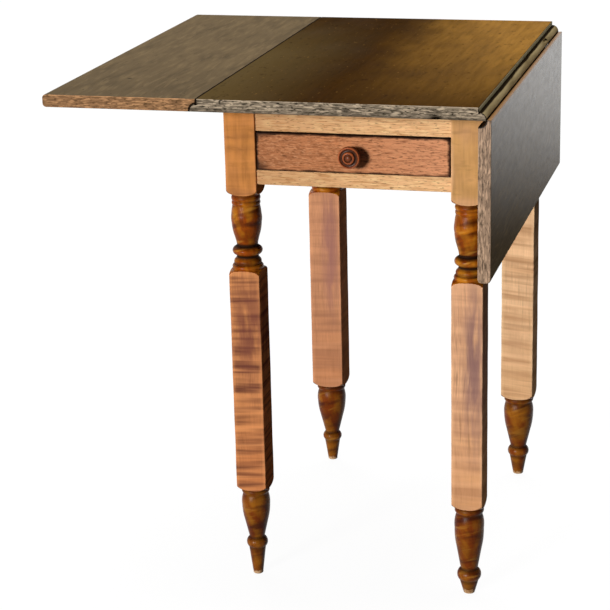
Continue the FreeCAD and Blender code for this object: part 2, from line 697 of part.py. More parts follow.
def make_rails(mortises):
    """Front rails, back apron and side aprons, each tenoned into two legs."""
    inner = {"front": "leg_inner_x", "back": "back_leg_inner_x"}
    apron_z = ("apron_bottom", "underside")
    tenon_z = ("apron_bottom + tenon_shoulder", "underside - tenon_shoulder")
    upper_y = ("-rail_front", "upper_rail_thickness - rail_front")
    lower_y = ("-rail_front", "-leg_inner_y")
    thick = "tenon_thickness / 2"
    upper_tenon_y = about("upper_rail_thickness / 2 - rail_front", thick)
    lower_tenon_y = ("lower_tenon_inset - rail_front", "lower_tenon_inset + lower_tenon_width - rail_front")
    back_tenon_y = about("back_outer - back_thickness / 2", thick)
    rails = {
        "front_upper_rail": (upper_y, ("opening_top", "underside"), upper_tenon_y,
                             ("opening_top + tenon_shoulder", "underside - tenon_shoulder"), "front"),
        "front_lower_rail": (lower_y, ("apron_bottom", "opening_bottom"), lower_tenon_y,
                             ("apron_bottom + lower_tenon_shoulder", "opening_bottom - lower_tenon_shoulder"),
                             "front"),
        "back_apron": (("back_inner", "back_outer"), apron_z, back_tenon_y, tenon_z, "back"),
    }
    solids = {}
    for label, (y, z, tenon_y, tenon_height, row) in rails.items():
        board = padded(f"{label}_board", "XZ_Plane", rectangle(about("0", inner[row]), z),
                       f"({y[1]}) - ({y[0]})")
        place(board, ("0", f"(({y[0]}) + ({y[1]})) / 2", "0"))
        outer = -1 if row == "front" else 1
        half = value(f"(({y[1]}) - ({y[0]})) / 2")
        soften(board, "rail_arris", lambda edge: (
            lies_along(edge, 0) and edge.CenterOfMass.y * outer > half - value("rail_arris")))
        parts = [board]
        for name, side in SIDES.items():
            end = span(side, inner[row], f"{inner[row]} + tenon_length")
            solid, hole = tenon(f"{label}_tenon_{name}", end, tenon_y, tenon_height, "x", side)
            parts.append(solid)
            mortises[f"leg_{row}_{name}"].append(hole)
        solids[label] = fuse(f"{label}_joined", parts)
    for name, side in SIDES.items():
        x = span(side, "apron_inner", "fly_inner")
        parts = [box(f"{name}_apron_board", x, ("-leg_inner_y", "leg_inner_y"), apron_z)]
        tenon_x = about(f"{side} * apron_middle", thick)
        for row, sign in (("front", -1), ("back", 1)):
            end = span(sign, "leg_inner_y", "leg_inner_y + tenon_length")
            solid, hole = tenon(f"{name}_apron_tenon_{row}", tenon_x, end, tenon_z, "y", sign)
            parts.append(solid)
            mortises[f"leg_{row}_{name}"].append(hole)
        solids[f"{name}_apron"] = fuse(f"{name}_apron_joined", parts)
    return solids


def make_top_screws(cuts):
    """Screws through pockets in the upper rail and the back apron, up into the top."""
    rows = {
        "front_upper_rail": "upper_rail_thickness - rail_front - pocket_inset",
        "back_apron": "back_inner + pocket_inset",
    }
    all_solids = []
    all_holes = []
    for label, y in rows.items():
        spots = [(f"{side} * (leg_inner_x - top_screw_inset)", y, "underside - pocket_drop")
                 for side in SIDES.values()]
        solids, holes = screws(f"{label}_screw", "wood_screw", "top_screw_length", spots)
        pockets = [rod(f"{label}_pocket_{count}", "pocket_diameter / 2", "pocket_height",
                       (spot[0], spot[1], "underside - pocket_drop - pocket_height"))
                   for count, spot in enumerate(spots, 1)]
        cuts[label] += holes + pockets
        all_solids += solids
        all_holes += holes
    keep("top_screws", group("top_screw_set", all_solids))
    return all_holes


# Fly brackets

def fly_finger(name, side, level, direction):
    """One finger of a knuckle: a block from the rail or bracket with a round end about the pin."""
    step = f"fly_height / {KNUCKLE_FINGERS}"
    low = f"fly_bottom + {level} * {step}" + (" + finger_gap / 2" if level > 0 else "")
    high = f"fly_bottom + {level + 1} * {step}" + (" - finger_gap / 2" if level < KNUCKLE_FINGERS - 1 else "")
    y = ("fly_pivot", "fly_pivot + fly_clear") if direction > 0 else ("fly_pivot - fly_clear", "fly_pivot")
    return [
        box(f"{name}_{level}", span(side, "fly_inner", "fly_outer"), y, (low, high)),
        rod(f"{name}_round_{level}", "fly_thickness / 2", f"({high}) - ({low})",
            (f"{side} * fly_axis", "fly_pivot", low)),
    ]


def make_fly(name, side, cuts):
    """The fixed fly rail, its plain end, the swinging bracket and the knuckle's pin on one side."""
    x = span(side, "fly_inner", "fly_outer")
    z = ("fly_bottom", "fly_top")
    bore = rod(f"{name}_fly_bore", "fly_pin_diameter / 2 + pin_fit", "fly_height + 2 * overrun",
               (f"{side} * fly_axis", "fly_pivot", "fly_bottom - overrun"))
    rail_y = ("fly_pivot + fly_clear", "leg_inner_y")
    end_y = ("-leg_inner_y", "fly_tip - fly_tip_gap")
    rail = [box(f"{name}_fly_rail_board", x, rail_y, z)]
    bracket = [box(f"{name}_fly_bracket_board", x, ("fly_tip", "fly_pivot - fly_clear"), z)]
    for level in range(KNUCKLE_FINGERS):
        fixed = level % 2 == 0
        fingers = fly_finger(f"{name}_finger", side, level, 1 if fixed else -1)
        (rail if fixed else bracket).extend(fingers)
    cove = rod(f"{name}_fly_cove", "fly_tip_cove", "fly_thickness + 2 * overrun",
               (f"{side} * fly_axis - fly_thickness / 2 - overrun", "fly_tip", "fly_bottom"), "+x")
    filler = box(f"{name}_fly_end_board", x, end_y, z)
    spots = [(f"{side} * apron_inner", f"({near}) + (({far}) - ({near})) * {share}",
              f"fly_bottom + fly_height * {FLY_SCREW_RISE_SHARE}")
             for near, far in (rail_y, end_y) for share in FLY_SCREW_SHARES]
    solids, holes = screws(f"{name}_fly_screw", "wood_screw", "fly_screw_length", spots,
                           "+x" if side > 0 else "-x")
    keep(f"{name}_fly_rail", cut(f"{name}_fly_rail_cut", fuse(f"{name}_fly_rail_joined", rail),
                                 [bore] + holes[:2]))
    keep(f"{name}_fly_end", cut(f"{name}_fly_end_cut", filler, holes[2:]))
    keep(f"{name}_fly_bracket", cut(f"{name}_fly_bracket_cut", fuse(f"{name}_fly_bracket_joined", bracket),
                                    [bore, cove]))
    keep(f"{name}_fly_pin", rod(f"{name}_fly_pin_rod", "fly_pin_diameter / 2", "fly_height",
                                (f"{side} * fly_axis", "fly_pivot", "fly_bottom")))
    keep(f"{name}_fly_screws", group(f"{name}_fly_screw_set", solids))
    cuts[f"{name}_apron"] += holes


# Drawer and what it runs on

def make_runners(name, side, cuts):
    """Runner under the drawer, guide beside it and kicker above it, on one side apron."""
    x = span(side, "runner_inner", "apron_inner")
    y = ("-leg_inner_y", "leg_inner_y")
    rows = {
        "runner": ("opening_bottom - runner_height", "opening_bottom"),
        "kicker": ("opening_top", "opening_top + runner_height"),
    }
    for kind, z in rows.items():
        spots = [(f"{side} * runner_inner", f"{hand} * (leg_inner_y - runner_screw_inset)",
                  f"{z[0]} + runner_height / 2") for hand in SIDES.values()]
        solids, holes = screws(f"{name}_{kind}_screw", "wood_screw", "runner_screw_length", spots,
                               "+x" if side > 0 else "-x")
        keep(f"{name}_{kind}", cut(f"{name}_{kind}_cut", box(f"{name}_{kind}_strip", x, y, z), holes))
        keep(f"{name}_{kind}_screws", group(f"{name}_{kind}_screw_set", solids))
        cuts[f"{name}_apron"] += holes
    keep(f"{name}_guide", box(f"{name}_guide_strip", span(side, "leg_inner_x", "apron_inner"), y,
                              ("opening_bottom", "opening_bottom + guide_height")))


def tail_corners(tails, shoulder, tip, rising):
    """The corners of a row of dovetails, up or down one end of a drawer side."""
    corners = []
    for low, high in (tails if rising else tails[::-1]):
        narrow = (low, high) if rising else (high, low)
        wide_low, wide_high = low - TAIL_SPREAD_SHARE, high + TAIL_SPREAD_SHARE
        wide = (wide_low, wide_high) if rising else (wide_high, wide_low)
        corners += [(shoulder, narrow[0]), (tip, wide[0]), (tip, wide[1]), (shoulder, narrow[1])]
    return [(y, f"drawer_base + drawer_height * {share}", 0) for y, share in corners]


def make_drawer():
    """Front, dovetailed sides and back, grooved-in bottom and turned knob."""
    side_front = "drawer_shoulder"
    side_back = "drawer_end - drawer_back_thickness"
    corners = [(side_front, "drawer_base", 0), ("drawer_end", "drawer_base", 0),
               ("drawer_end", "panel_top", 0), (side_back, "panel_top", 0)]
    corners += tail_corners(BACK_TAIL_SHARES, side_back, "drawer_end", True)
    corners += [(side_back, "drawer_top", 0), (side_front, "drawer_top", 0)]
    corners += tail_corners(FRONT_TAIL_SHARES, side_front, "drawer_shoulder - tail_length", False)
    groove_x = about("0", "drawer_inner + groove_depth")
    groove_y = ("drawer_shoulder - groove_depth", "drawer_end")
    groove_z = ("panel_bottom", "panel_top")
    groove = box("drawer_groove", about("0", "drawer_inner + groove_depth + groove_fit"),
                 (f"{groove_y[0]} - groove_fit", "drawer_end + overrun"), groove_z)
    blanks = []
    for name, side in SIDES.items():
        blank = padded(f"drawer_{name}_blank", "YZ_Plane", corners, "drawer_side_thickness")
        place(blank, (f"{side} * (drawer_half - drawer_side_thickness / 2)", "0", "0"))
        blanks.append(blank)
        keep(f"drawer_{name}_side", cut(f"drawer_{name}_side_cut", blank, [groove]))
    front = padded("drawer_front_blank", "XZ_Plane", rectangle(
        about("0", "drawer_half"), ("drawer_base", "drawer_top")), "drawer_front_thickness")
    place(front, ("0", "drawer_front_thickness / 2 - rail_front", "0"))
    half = value("drawer_front_thickness / 2")
    soften(front, "rail_arris", lambda edge: (
        not lies_along(edge, 1) and edge.CenterOfMass.y < value("rail_arris") - half))
    middle_z = "drawer_base + drawer_height / 2"
    hole = rod("knob_hole", "spigot_diameter / 2 + spigot_fit", "drawer_front_thickness + 2 * overrun",
               ("0", "-rail_front - overrun", middle_z), "+y")
    keep("drawer_front", cut("drawer_front_cut", front, blanks + [groove, hole]))
    nail_y = "drawer_end - drawer_back_thickness / 2"
    nails, nail_holes = screws("drawer_nail", "nail", "nail_length", [
        (f"{hand} * (drawer_inner - nail_inset)", nail_y, "panel_bottom") for hand in (-1, 0, 1)])
    back = box("drawer_back_board", about("0", "drawer_half"), (side_back, "drawer_end"),
               ("panel_top", "drawer_top - drawer_back_drop"))
    keep("drawer_back", cut("drawer_back_cut", back, blanks + nail_holes))
    panel = box("drawer_panel", groove_x, groove_y, groove_z)
    keep("drawer_bottom", cut("drawer_bottom_cut", panel, nail_holes))
    keep("drawer_bottom_nails", group("drawer_nail_set", nails))
    make_knob(middle_z)


def make_knob(middle_z):
    """The turned knob with its spigot through the drawer front."""
    half = "knob_diameter / 2"
    spigot = "spigot_diameter / 2"
    corners = [("0", "-drawer_front_thickness", 0), (spigot, "-drawer_front_thickness", 0),
               (spigot, "0", 0)]
    corners += [(f"{half} * {radius}", f"knob_reach * {out}", rise) for radius, out, rise in KNOB_SHARES]
    corners += [("0", "knob_reach", 0)]
    knob = turned("knob_turned", corners)
    knob.Placement = FreeCAD.Placement(FreeCAD.Vector(), TURNS["-y"])
    place(knob, ("0", "-rail_front", middle_z))
    keep("drawer_knob", knob)


def make_stops_and_blocks():
    """Stops behind the drawer front, and glue blocks between the aprons and the top."""
    stops = [box(f"stop_{name}", about(f"{side} * (leg_inner_x - stop_inset)", "stop_width / 2"),
                 ("drawer_shoulder + stop_gap", "drawer_shoulder + stop_gap + stop_length"),
                 ("opening_bottom", "opening_bottom + stop_height")) for name, side in SIDES.items()]
    keep("drawer_stops", group("drawer_stop_set", stops))
    z = ("underside - block_side", "underside")
    blocks = []
    for name, side in SIDES.items():
        for row, hand in (("front", -1), ("back", 1)):
            x = span(side, "apron_inner - block_side", "apron_inner")
            y = about(f"{hand} * (leg_inner_y - block_inset)", "block_length / 2")
            blocks.append(box(f"block_{name}_{row}", x, y, z))
        blocks.append(box(f"block_back_{name}", about(f"{side} * back_block_reach", "block_length / 2"),
                          ("back_inner - block_side", "back_inner"), z))
    keep("glue_blocks", group("glue_block_set", blocks))


# The whole table

doc = FreeCAD.newDocument("pembroke_table")
sheet = make_sheet()
leg_mortises = {label: [] for label in CORNERS}
rail_solids = make_rails(leg_mortises)
rail_cuts = {label: [] for label in rail_solids}
make_legs(leg_mortises)
make_top(rail_cuts)
for side_name, side_sign in SIDES.items():
    make_leaf(side_name, side_sign)
    make_fly(side_name, side_sign, rail_cuts)
    make_runners(side_name, side_sign, rail_cuts)
for rail_label, rail_solid in rail_solids.items():
    tools = rail_cuts[rail_label]
    keep(rail_label, cut(rail_label + "_cut", rail_solid, tools) if tools else rail_solid)
make_drawer()
make_stops_and_blocks()
doc.recompute()

failed = [item.Label for item in doc.Objects if {"Invalid", "Error"} & set(item.State)]
failed += [item.Label for item in PIECES if item.Shape.isNull() or not item.Shape.isValid()]
if failed:
    raise RuntimeError("these did not build: " + ", ".join(failed))
os.makedirs("parts", exist_ok=True)
for item in PIECES:
    item.Shape.exportStep(f"parts/{item.Label}.step")
    print(f"{item.Label}: {len(item.Shape.Solids)} solids, {item.Shape.Volume:.1f} mm3")
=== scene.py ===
"""Looks of a drop-leaf pembroke table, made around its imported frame.

The legs and the knob are worked out as turned surfaces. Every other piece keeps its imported
shape and gets its wood or iron. Metres, in the frame's own axes: X right, Y back, Z up.
"""

import json
import math

import bpy
import numpy as np
from mathutils import Matrix, Vector


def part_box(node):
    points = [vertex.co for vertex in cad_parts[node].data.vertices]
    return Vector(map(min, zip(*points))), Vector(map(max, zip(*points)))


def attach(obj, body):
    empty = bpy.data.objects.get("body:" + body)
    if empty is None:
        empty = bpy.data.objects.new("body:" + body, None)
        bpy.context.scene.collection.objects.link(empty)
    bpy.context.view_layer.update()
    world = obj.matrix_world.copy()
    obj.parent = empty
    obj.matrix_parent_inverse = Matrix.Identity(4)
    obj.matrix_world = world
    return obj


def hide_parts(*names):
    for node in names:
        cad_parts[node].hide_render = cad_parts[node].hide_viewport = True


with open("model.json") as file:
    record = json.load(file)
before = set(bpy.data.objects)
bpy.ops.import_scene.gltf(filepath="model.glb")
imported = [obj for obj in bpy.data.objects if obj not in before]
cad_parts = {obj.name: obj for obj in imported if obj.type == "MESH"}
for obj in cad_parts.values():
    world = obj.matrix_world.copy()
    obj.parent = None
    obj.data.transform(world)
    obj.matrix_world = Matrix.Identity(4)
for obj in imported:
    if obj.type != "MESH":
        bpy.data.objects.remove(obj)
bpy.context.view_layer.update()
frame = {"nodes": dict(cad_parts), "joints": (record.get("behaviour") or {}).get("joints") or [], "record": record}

bl_info = {
    "name": "Pembroke Table",
    "version": (1, 0, 0),
    "blender": (4, 5, 0),
    "location": "View3D > Sidebar > Table",
    "description": "Turned legs, knob, woods, irons and studio of a drop-leaf table",
    "category": "Object",
}

MM = 0.001

# Fineness of the turned surfaces: the step from ring to ring, the points around, and which rings of a
# plain square are kept
LEG_STEP, KNOB_STEP = 1.1 * MM, 0.5 * MM
SIDE_POINTS, ARRIS_POINTS, KNOB_POINTS = 23, 6, 72
SQUARE_EVERY = 4

# Metres between the legs in the wood's pattern, so that no two are alike
SEED_APART = 0.13

# Turned outlines, as (radius, height, rise): radius as a share of half the square, height as a share
# of its stretch of the leg, and the rise of the arc to the next point as a share of its chord
TIP_SHARES = [(0.27, 0.00, 0.20), (0.315, 0.06, 0.00)]
BEAD_SHARES = [(0.53, -0.50, 0.24), (0.49, 0.50, -0.10)]
STEM_SHARES = [
    (0.49, 0.03, 0.00), (0.76, 0.31, 0.03), (0.92, 0.57, 0.06), (0.83, 0.765, 0.00),
    (0.84, 0.780, 0.24), (0.84, 0.862, 0.00), (0.87, 0.873, 0.20),
]
TURNING_SHARES = [
    (1.45, 0.000, 0.20), (0.99, 0.078, 0.00), (0.95, 0.081, 0.25), (0.91, 0.126, 0.00),
    (0.84, 0.130, 0.20), (0.79, 0.184, 0.00), (0.70, 0.202, 0.00), (0.70, 0.218, 0.00),
    (0.81, 0.234, 0.33), (0.81, 0.310, 0.00), (0.66, 0.330, -0.02), (0.83, 0.444, 0.03),
    (0.96, 0.569, 0.05), (0.96, 0.663, 0.02), (0.88, 0.752, 0.00), (0.86, 0.760, 0.20),
    (0.86, 0.806, 0.20), (0.86, 0.862, 0.00), (0.90, 0.878, 0.21),
]
# A radius past the square's corners, and how full each foot is
SQUARE_SHARE = 1.45
FULL_SHARES = {"front_left": 1.06, "front_right": 1.18, "back_left": 0.94, "back_right": 1.04}
KNOB_SHARES = [
    (0.74, 0.00, 0.20), (0.70, 0.13, 0.00), (0.52, 0.17, -0.16), (0.56, 0.50, -0.10),
    (0.88, 0.60, 0.28), (0.975, 0.74, 0.26), (0.86, 0.88, 0.00), (0.78, 0.82, -0.20),
    (0.56, 0.84, 0.22), (0.40, 0.96, 0.00), (0.34, 0.90, 0.10), (0.06, 1.00, 0.00),
]


# Settings

def length(name, default, description):
    """A size in millimetres, kept in metres."""
    return bpy.props.FloatProperty(name=name, default=default * MM, description=description,
                                   unit="LENGTH", precision=4)


def paint(name, code, description):
    """A colour given as an sRGB hex code."""
    return bpy.props.FloatVectorProperty(name=name, default=linear(code), size=4, min=0, max=1,
                                         subtype="COLOR", description=description)


def linear(code):
    """Turn an sRGB hex code into linear red, green, blue and a full alpha."""
    parts = np.array([int(code[place:place + 2], 16) for place in (1, 3, 5)]) / 255
    parts = np.where(parts <= 0.04045, parts / 12.92, ((parts + 0.055) / 1.055) ** 2.4)
    return (*parts.tolist(), 1.0)


class TableSizes(bpy.types.PropertyGroup):
    """Sizes of the turned pieces."""
    foot: length("Foot", 147, "Floor to the square of the leg")
    post: length("Post", 305, "Square between the two turnings")
    turning: length("Turning", 133, "Upper turning")
    bead: length("Bead", 14, "Height of the foot's bead")
    front_left_bead: length("Front left bead", 50, "Floor to the middle of the bead")
    front_right_bead: length("Front right bead", 29, "Floor to the middle of the bead")
    back_left_bead: length("Back left bead", 42, "Floor to the middle of the bead")
    back_right_bead: length("Back right bead", 40, "Floor to the middle of the bead")
    leg_arris: length("Leg corner", 1.2, "Rounding of the leg's corners")
    wear: length("Wear", 0.5, "Most that handling has taken off the corners of a leg")
    knob: length("Knob", 30, "Diameter of the drawer knob")
    knob_reach: length("Knob reach", 25, "Knob in front of the drawer")
    spigot: length("Spigot", 10, "Diameter of the knob's spigot")


class TableColours(bpy.types.PropertyGroup):
    """Colours of the woods and irons."""
    leaf: paint("Left leaf", "#786445", "Worn varnish of the left leaf")
    top: paint("Top", "#3c2304", "Worn varnish of the fixed top")
    # The top's golden tone is a painted reflection, laid to the right and the back of the top
    gold: paint("Top, worn", "#a97a38", "Where the varnish of the top has gone golden")
    hanging: paint("Right leaf", "#927648", "Worn varnish of the right leaf")
    end_grain: paint("End grain", "#8f806c", "Weathered ends of the top")
    front_left: paint("Front left leg", "#d68e59", "Maple of the front left leg")
    front_left_curl: paint("Front left curl", "#6a3d2f", "Dark bands of the front left leg")
    front_left_block: paint("Front left block", "#cd8747", "Top of the front left leg")
    front_right: paint("Front right leg", "#ebb287", "Maple of the front right leg")
    front_right_curl: paint("Front right curl", "#9c6c54", "Dark bands of the front right leg")
    front_right_block: paint("Front right block", "#c7965d", "Top of the front right leg")
    back_left: paint("Back left leg", "#d2946c", "Maple of the back left leg")
    back_left_curl: paint("Back left curl", "#9c6a50", "Dark bands of the back left leg")
    back_right: paint("Back right leg", "#ecbd90", "Maple of the back right leg")
    back_right_curl: paint("Back right curl", "#ba8a60", "Dark bands of the back right leg")
    turned: paint("Turned maple", "#a04a08", "Varnish on the turned parts")
    recess: paint("Recess", "#241004", "Dirt and varnish in the recesses")
    rail: paint("Rail", "#f0bc88", "Maple of the front rails")
    drawer: paint("Drawer front", "#cb8457", "Cherry of the drawer front")
    knob: paint("Knob", "#894625", "Stained knob")
    bare: paint("Bare wood", "#b58e5c", "Unfinished wood inside")
    fly: paint("Fly wood", "#8f6338", "Unfinished wood of the fly brackets")
    iron: paint("Iron", "#3a342f", "Wrought iron of hinges and pins")
    screw: paint("Screws", "#5a5049", "Worn heads of screws and nails")


class TableStage(bpy.types.PropertyGroup):
    """Camera and light."""
    camera: bpy.props.FloatVectorProperty(
        name="Camera", default=(0.5969, -2.6911, 1.2229), size=3, subtype="TRANSLATION",
        unit="LENGTH", description="Where the camera stands")
    turn: bpy.props.FloatVectorProperty(
        name="Turn", default=(-0.3068, -0.0247, 0.2658), size=3, subtype="EULER", unit="ROTATION",
        description="Camera: tilt up, roll and turn to the left")
    lens: bpy.props.FloatProperty(name="Lens", default=114.63, description="Focal length in millimetres",
                                  unit="CAMERA")
    key_turn: bpy.props.FloatProperty(name="Key turn", default=math.radians(25), subtype="ANGLE",
                                      unit="ROTATION", description="Key light, to the left of the front")
    key_height: bpy.props.FloatProperty(name="Key height", default=math.radians(10), subtype="ANGLE",
                                        unit="ROTATION", description="Key light above the floor")
    key: bpy.props.FloatProperty(name="Key", default=3.2, description="Strength of the key light")
    above: bpy.props.FloatProperty(name="Above", default=1.8,
                                   description="Strength of the light from above")
    rim: bpy.props.FloatProperty(name="Rim", default=0.8, description="Strength of the light from behind")
    fill: bpy.props.FloatProperty(name="Fill", default=0.045, description="Strength of the light all round")


# Surfaces

def outline(points, step):
    """Carry (radius, height, rise) points into one line of (radius, height), about a step apart.

    Between two points the line is the chord, moved out square to it by the height of the circle
    whose middle stands rise times the chord off it: half the chord times
    (cos a - cos b) / sin b, with a from -b to b and b = 2 atan(2 rise).
    """
    stretches = []
    for (r0, z0, rise), (r1, z1, _) in zip(points[:-1], points[1:]):
        run = np.array([r1 - r0, z1 - z0])
        chord = np.hypot(*run)
        count = max(2, int(np.ceil(chord * (1 + 2 * abs(rise)) / step)) + 1)
        share = np.linspace(0, 1, count)[:-1, None]
        out = np.zeros_like(share)
        if rise:
            bend = 2 * np.arctan(2 * rise)
            angle = (2 * share - 1) * bend
            share = (1 + np.sin(angle) / np.sin(bend)) / 2
            out = (np.cos(angle) - np.cos(bend)) / np.sin(bend) / 2
        stretches.append(np.array([r0, z0]) + share * run + out * np.array([run[1], -run[0]]))
    return np.vstack(stretches + [np.array([points[-1][:2]])])


def scaled(shares, width, start, height):
    """Turn shares of a width and of a stretch that starts at a height into sizes."""
    return [(radius * width, start + share * height, rise) for radius, share, rise in shares]


def ripple(place, seed, size):
    """A slow, even-handed wave about zero: five sines whose lengths and phases come from a seed."""
    draw = np.random.default_rng(seed)
    turns = draw.uniform(0.35, 1.6, 5) * 2 * np.pi / size
    return np.sin(place[..., None] * turns + draw.uniform(0, 2 * np.pi, 5)).mean(-1)


def skin(name, rings, marks, second=None):
    """Join closed rings of points into one surface with a pole at each end, and keep its marks.

    Faces where the mark that second names is over a half take the piece's second material.
    """
    count, around = rings.shape[:2]
    size = count * around
    spots = np.vstack([rings.reshape(-1, 3), rings[0].mean(0), rings[-1].mean(0)])
    index = np.arange(size).reshape(count, around)
    ahead = np.roll(index, -1, axis=1)
    quads = np.stack([index[:-1], ahead[:-1], ahead[1:], index[1:]], -1).reshape(-1, 4)
    first = np.stack([ahead[0], index[0], np.full(around, size)], -1)
    last = np.stack([index[-1], ahead[-1], np.full(around, size + 1)], -1)
    mesh = bpy.data.meshes.new(name)
    mesh.from_pydata(spots, [], [*quads.tolist(), *first.tolist(), *last.tolist()])
    mesh.shade_smooth()
    if second is not None:
        spread = marks[second]
        pairs = spread + np.roll(spread, -1, 1)
        corners = (pairs[:-1] + pairs[1:]).ravel()
        kinds = np.concatenate([corners > 2, spread[0] > 0.5, spread[-1] > 0.5])
        mesh.polygons.foreach_set("material_index", kinds.astype(np.int32))
    for label, values in marks.items():
        values = np.concatenate([values.ravel(), [values[0].mean(), values[-1].mean()]])
        mesh.attributes.new(label, "FLOAT", "POINT").data.foreach_set("value", values.astype(np.float32))
    piece = bpy.data.objects.new(name, mesh)
    bpy.context.scene.collection.objects.link(piece)
    return piece


def fuller(shares, full, fading=False):
    """Outline points with their radius times a fullness, which may fade out up the stretch."""
    return [(radius * (1 + (full - 1) * ((1 - share) ** 2 if fading else 1)), share, rise)
            for radius, share, rise in shares]


def leg_surface(node, bead, full, sizes, seed):
    """A leg: at each height and angle, the smaller of the turned radius and the square's.

    The square's radius at an angle is half / max(|cos|, |sin|), held to the rounded corner, and
    handling takes a slow ripple of wear off the corners. Marks: lathe is 1 where the turning
    shows, recess grows with the depth below the widest turning nearby, corner is 1 on an arris.
    """
    low, high = (np.array(corner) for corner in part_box(node))
    middle, half, top = (low + high) / 2, (high[0] - low[0]) / 2, high[2]
    bead_height = sizes.bead * full
    bottom, bead_top = bead - bead_height / 2, bead + bead_height / 2
    square_top = sizes.foot + sizes.post
    block = square_top + sizes.turning
    points = (
        [(half * 0.1, 0, 0)]
        + scaled(fuller(TIP_SHARES, full), half, 0, bottom)
        + scaled(fuller(BEAD_SHARES, full), half, bead, bead_height)
        + scaled(fuller(STEM_SHARES, full, True), half, bead_top, sizes.foot - bead_top)
        + [(half * SQUARE_SHARE, sizes.foot, 0)]
        + scaled(TURNING_SHARES, half, square_top, sizes.turning)
        + [(half * SQUARE_SHARE, block, 0), (half * SQUARE_SHARE, top, 0)]
    )
    line = outline(points, LEG_STEP)
    keep = np.ones(len(line), bool)
    on_square = line[:, 0] >= half * SQUARE_SHARE * 0.999
    keep[on_square] = (np.cumsum(on_square)[on_square] % SQUARE_EVERY) == 0
    keep[[0, -1]] = True
    radius, height = line[keep, 0][:, None], line[keep, 1][:, None]

    corner = np.arctan2(half - sizes.leg_arris, half)
    quarter = np.concatenate([np.linspace(-np.pi / 4, np.pi / 4, SIDE_POINTS)[1:-1],
                              np.linspace(corner, np.pi / 2 - corner, ARRIS_POINTS)])
    angle = np.sort(np.concatenate([quarter + turn * np.pi / 2 for turn in range(4)]))[None, :]
    nearest = np.abs((angle + np.pi / 4) % (np.pi / 2) - np.pi / 4)
    flat = half / np.cos(nearest)
    centre = (half - sizes.leg_arris) * np.sqrt(2)
    away = np.pi / 4 - nearest
    rounded = centre * np.cos(away) + np.sqrt(np.maximum(
        sizes.leg_arris ** 2 - (centre * np.sin(away)) ** 2, 0))
    square = np.where(nearest > corner, np.minimum(rounded, flat), flat)
    # Wear starts this many radians off the middle of a face
    worn_from = 0.66
    edge = np.clip((nearest - worn_from) / (np.pi / 4 - worn_from), 0, 1)
    usual, swing, wave = 0.55, 0.9, 90 * MM
    wear = sizes.wear * (usual + swing * ripple(height, seed, wave)) * edge ** 2
    square = square - np.clip(wear, 0, sizes.wear)
    uneven, slant, wave = 0.004, 30 * MM, 50 * MM
    turned = radius * (1 - uneven * (1 + ripple(height + slant * np.sin(angle), seed + 1, wave)))
    reach = np.minimum(turned, square)

    rings = np.stack([middle[0] + reach * np.cos(angle), middle[1] + reach * np.sin(angle),
                      np.broadcast_to(height, reach.shape)], -1)
    nearby, blend, deepest = 6 * MM, 0.8 * MM, 5 * MM
    near = np.abs(height - height.T) < nearby
    widest = np.where(near, np.minimum(radius, half).T, 0).max(1, keepdims=True)
    marks = {
        "lathe": np.clip((square - turned) / blend + 0.5, 0, 1),
        "recess": np.clip((widest - reach) / deepest, 0, 1),
        "corner": np.broadcast_to(edge, reach.shape) * (turned > square),
    }
    return skin(node + "_turned", rings, marks, "lathe")


def knob_surface(node, sizes):
    """The knob: its outline turned about a level axis that points out of the drawer.

    A point at an angle lies at X = middle + radius cos, Y = face - out, Z = middle + radius sin.
    Marks: recess grows with the depth behind what stands out nearby, and rubbed swells to a half
    on the two rings of the front.
    """
    low, high = (np.array(corner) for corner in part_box(node))
    half = sizes.knob / 2
    face = low[1] + sizes.knob_reach
    depth = high[1] - face
    points = [(half * 0.02, -depth, 0), (sizes.spigot / 2, -depth, 0), (sizes.spigot / 2, 0, 0)]
    points += scaled(KNOB_SHARES, half, 0, sizes.knob_reach)
    line = outline(points, KNOB_STEP)
    shape = (len(line), KNOB_POINTS)
    radius, out = line[:, :1], line[:, 1:]
    angle = np.linspace(0, 2 * np.pi, KNOB_POINTS, endpoint=False)[None, :]
    middle = (low + high) / 2
    rings = np.stack([middle[0] + radius * np.cos(angle), np.broadcast_to(face - out, shape),
                      middle[2] + radius * np.sin(angle)], -1)
    nearby, deepest = 3 * MM, 2.5 * MM
    near = np.hypot(radius - radius.T, out - out.T) < nearby
    front = np.where(near & (out.T > 0), out.T, -1).max(1, keepdims=True)
    recess = np.clip((front - out) / deepest, 0, 1) * (out > 0.5 * sizes.knob_reach)
    share = radius / half
    rubbed = sum(np.exp(-((share - ring) / width) ** 2) for ring, width in ((0.93, 0.05), (0.5, 0.06)))
    rubbed = rubbed * (out > 0.55 * sizes.knob_reach) * 0.5
    marks = {"recess": np.broadcast_to(recess, shape), "rubbed": np.broadcast_to(rubbed, shape)}
    return skin(node + "_turned", rings, marks)


# Materials

def add(tree, kind, inputs=None, **settings):
    """Add a node: settings are its own, inputs are constants or the sockets that feed it.

    Inputs go by name or number. MapRange's are 0 the value, 1 and 2 the range it comes from, 3 and 4
    the range it goes to, 0 to 1 if not given. A colour Mix has 0 the share, 6 and 7 the two colours.
    """
    node = tree.nodes.new("ShaderNode" + kind)
    for key, setting in settings.items():
        setattr(node, key, setting)
    for key, source in (inputs or {}).items():
        if isinstance(source, bpy.types.NodeSocket):
            tree.links.new(source, node.inputs[key])
        else:
            node.inputs[key].default_value = source
    return node


def blank(name):
    """An empty material."""
    material = bpy.data.materials.new(name)
    material.use_nodes = True
    material.node_tree.nodes.clear()
    return material, material.node_tree


def pattern(tree, spot, size, low, high, detail=2.0, most=1.0):
    """Noise whose lumps have a real size in millimetres along X, Y and Z, spread from 0 to the most."""
    spread = add(tree, "Mapping", {"Vector": spot, "Scale": [1000 / part for part in size]})
    noise = add(tree, "TexNoise", {"Vector": spread.outputs[0], "Scale": 1.0, "Detail": detail})
    return add(tree, "MapRange", {0: noise.outputs[0], 1: low, 2: high, 4: most}).outputs[0]


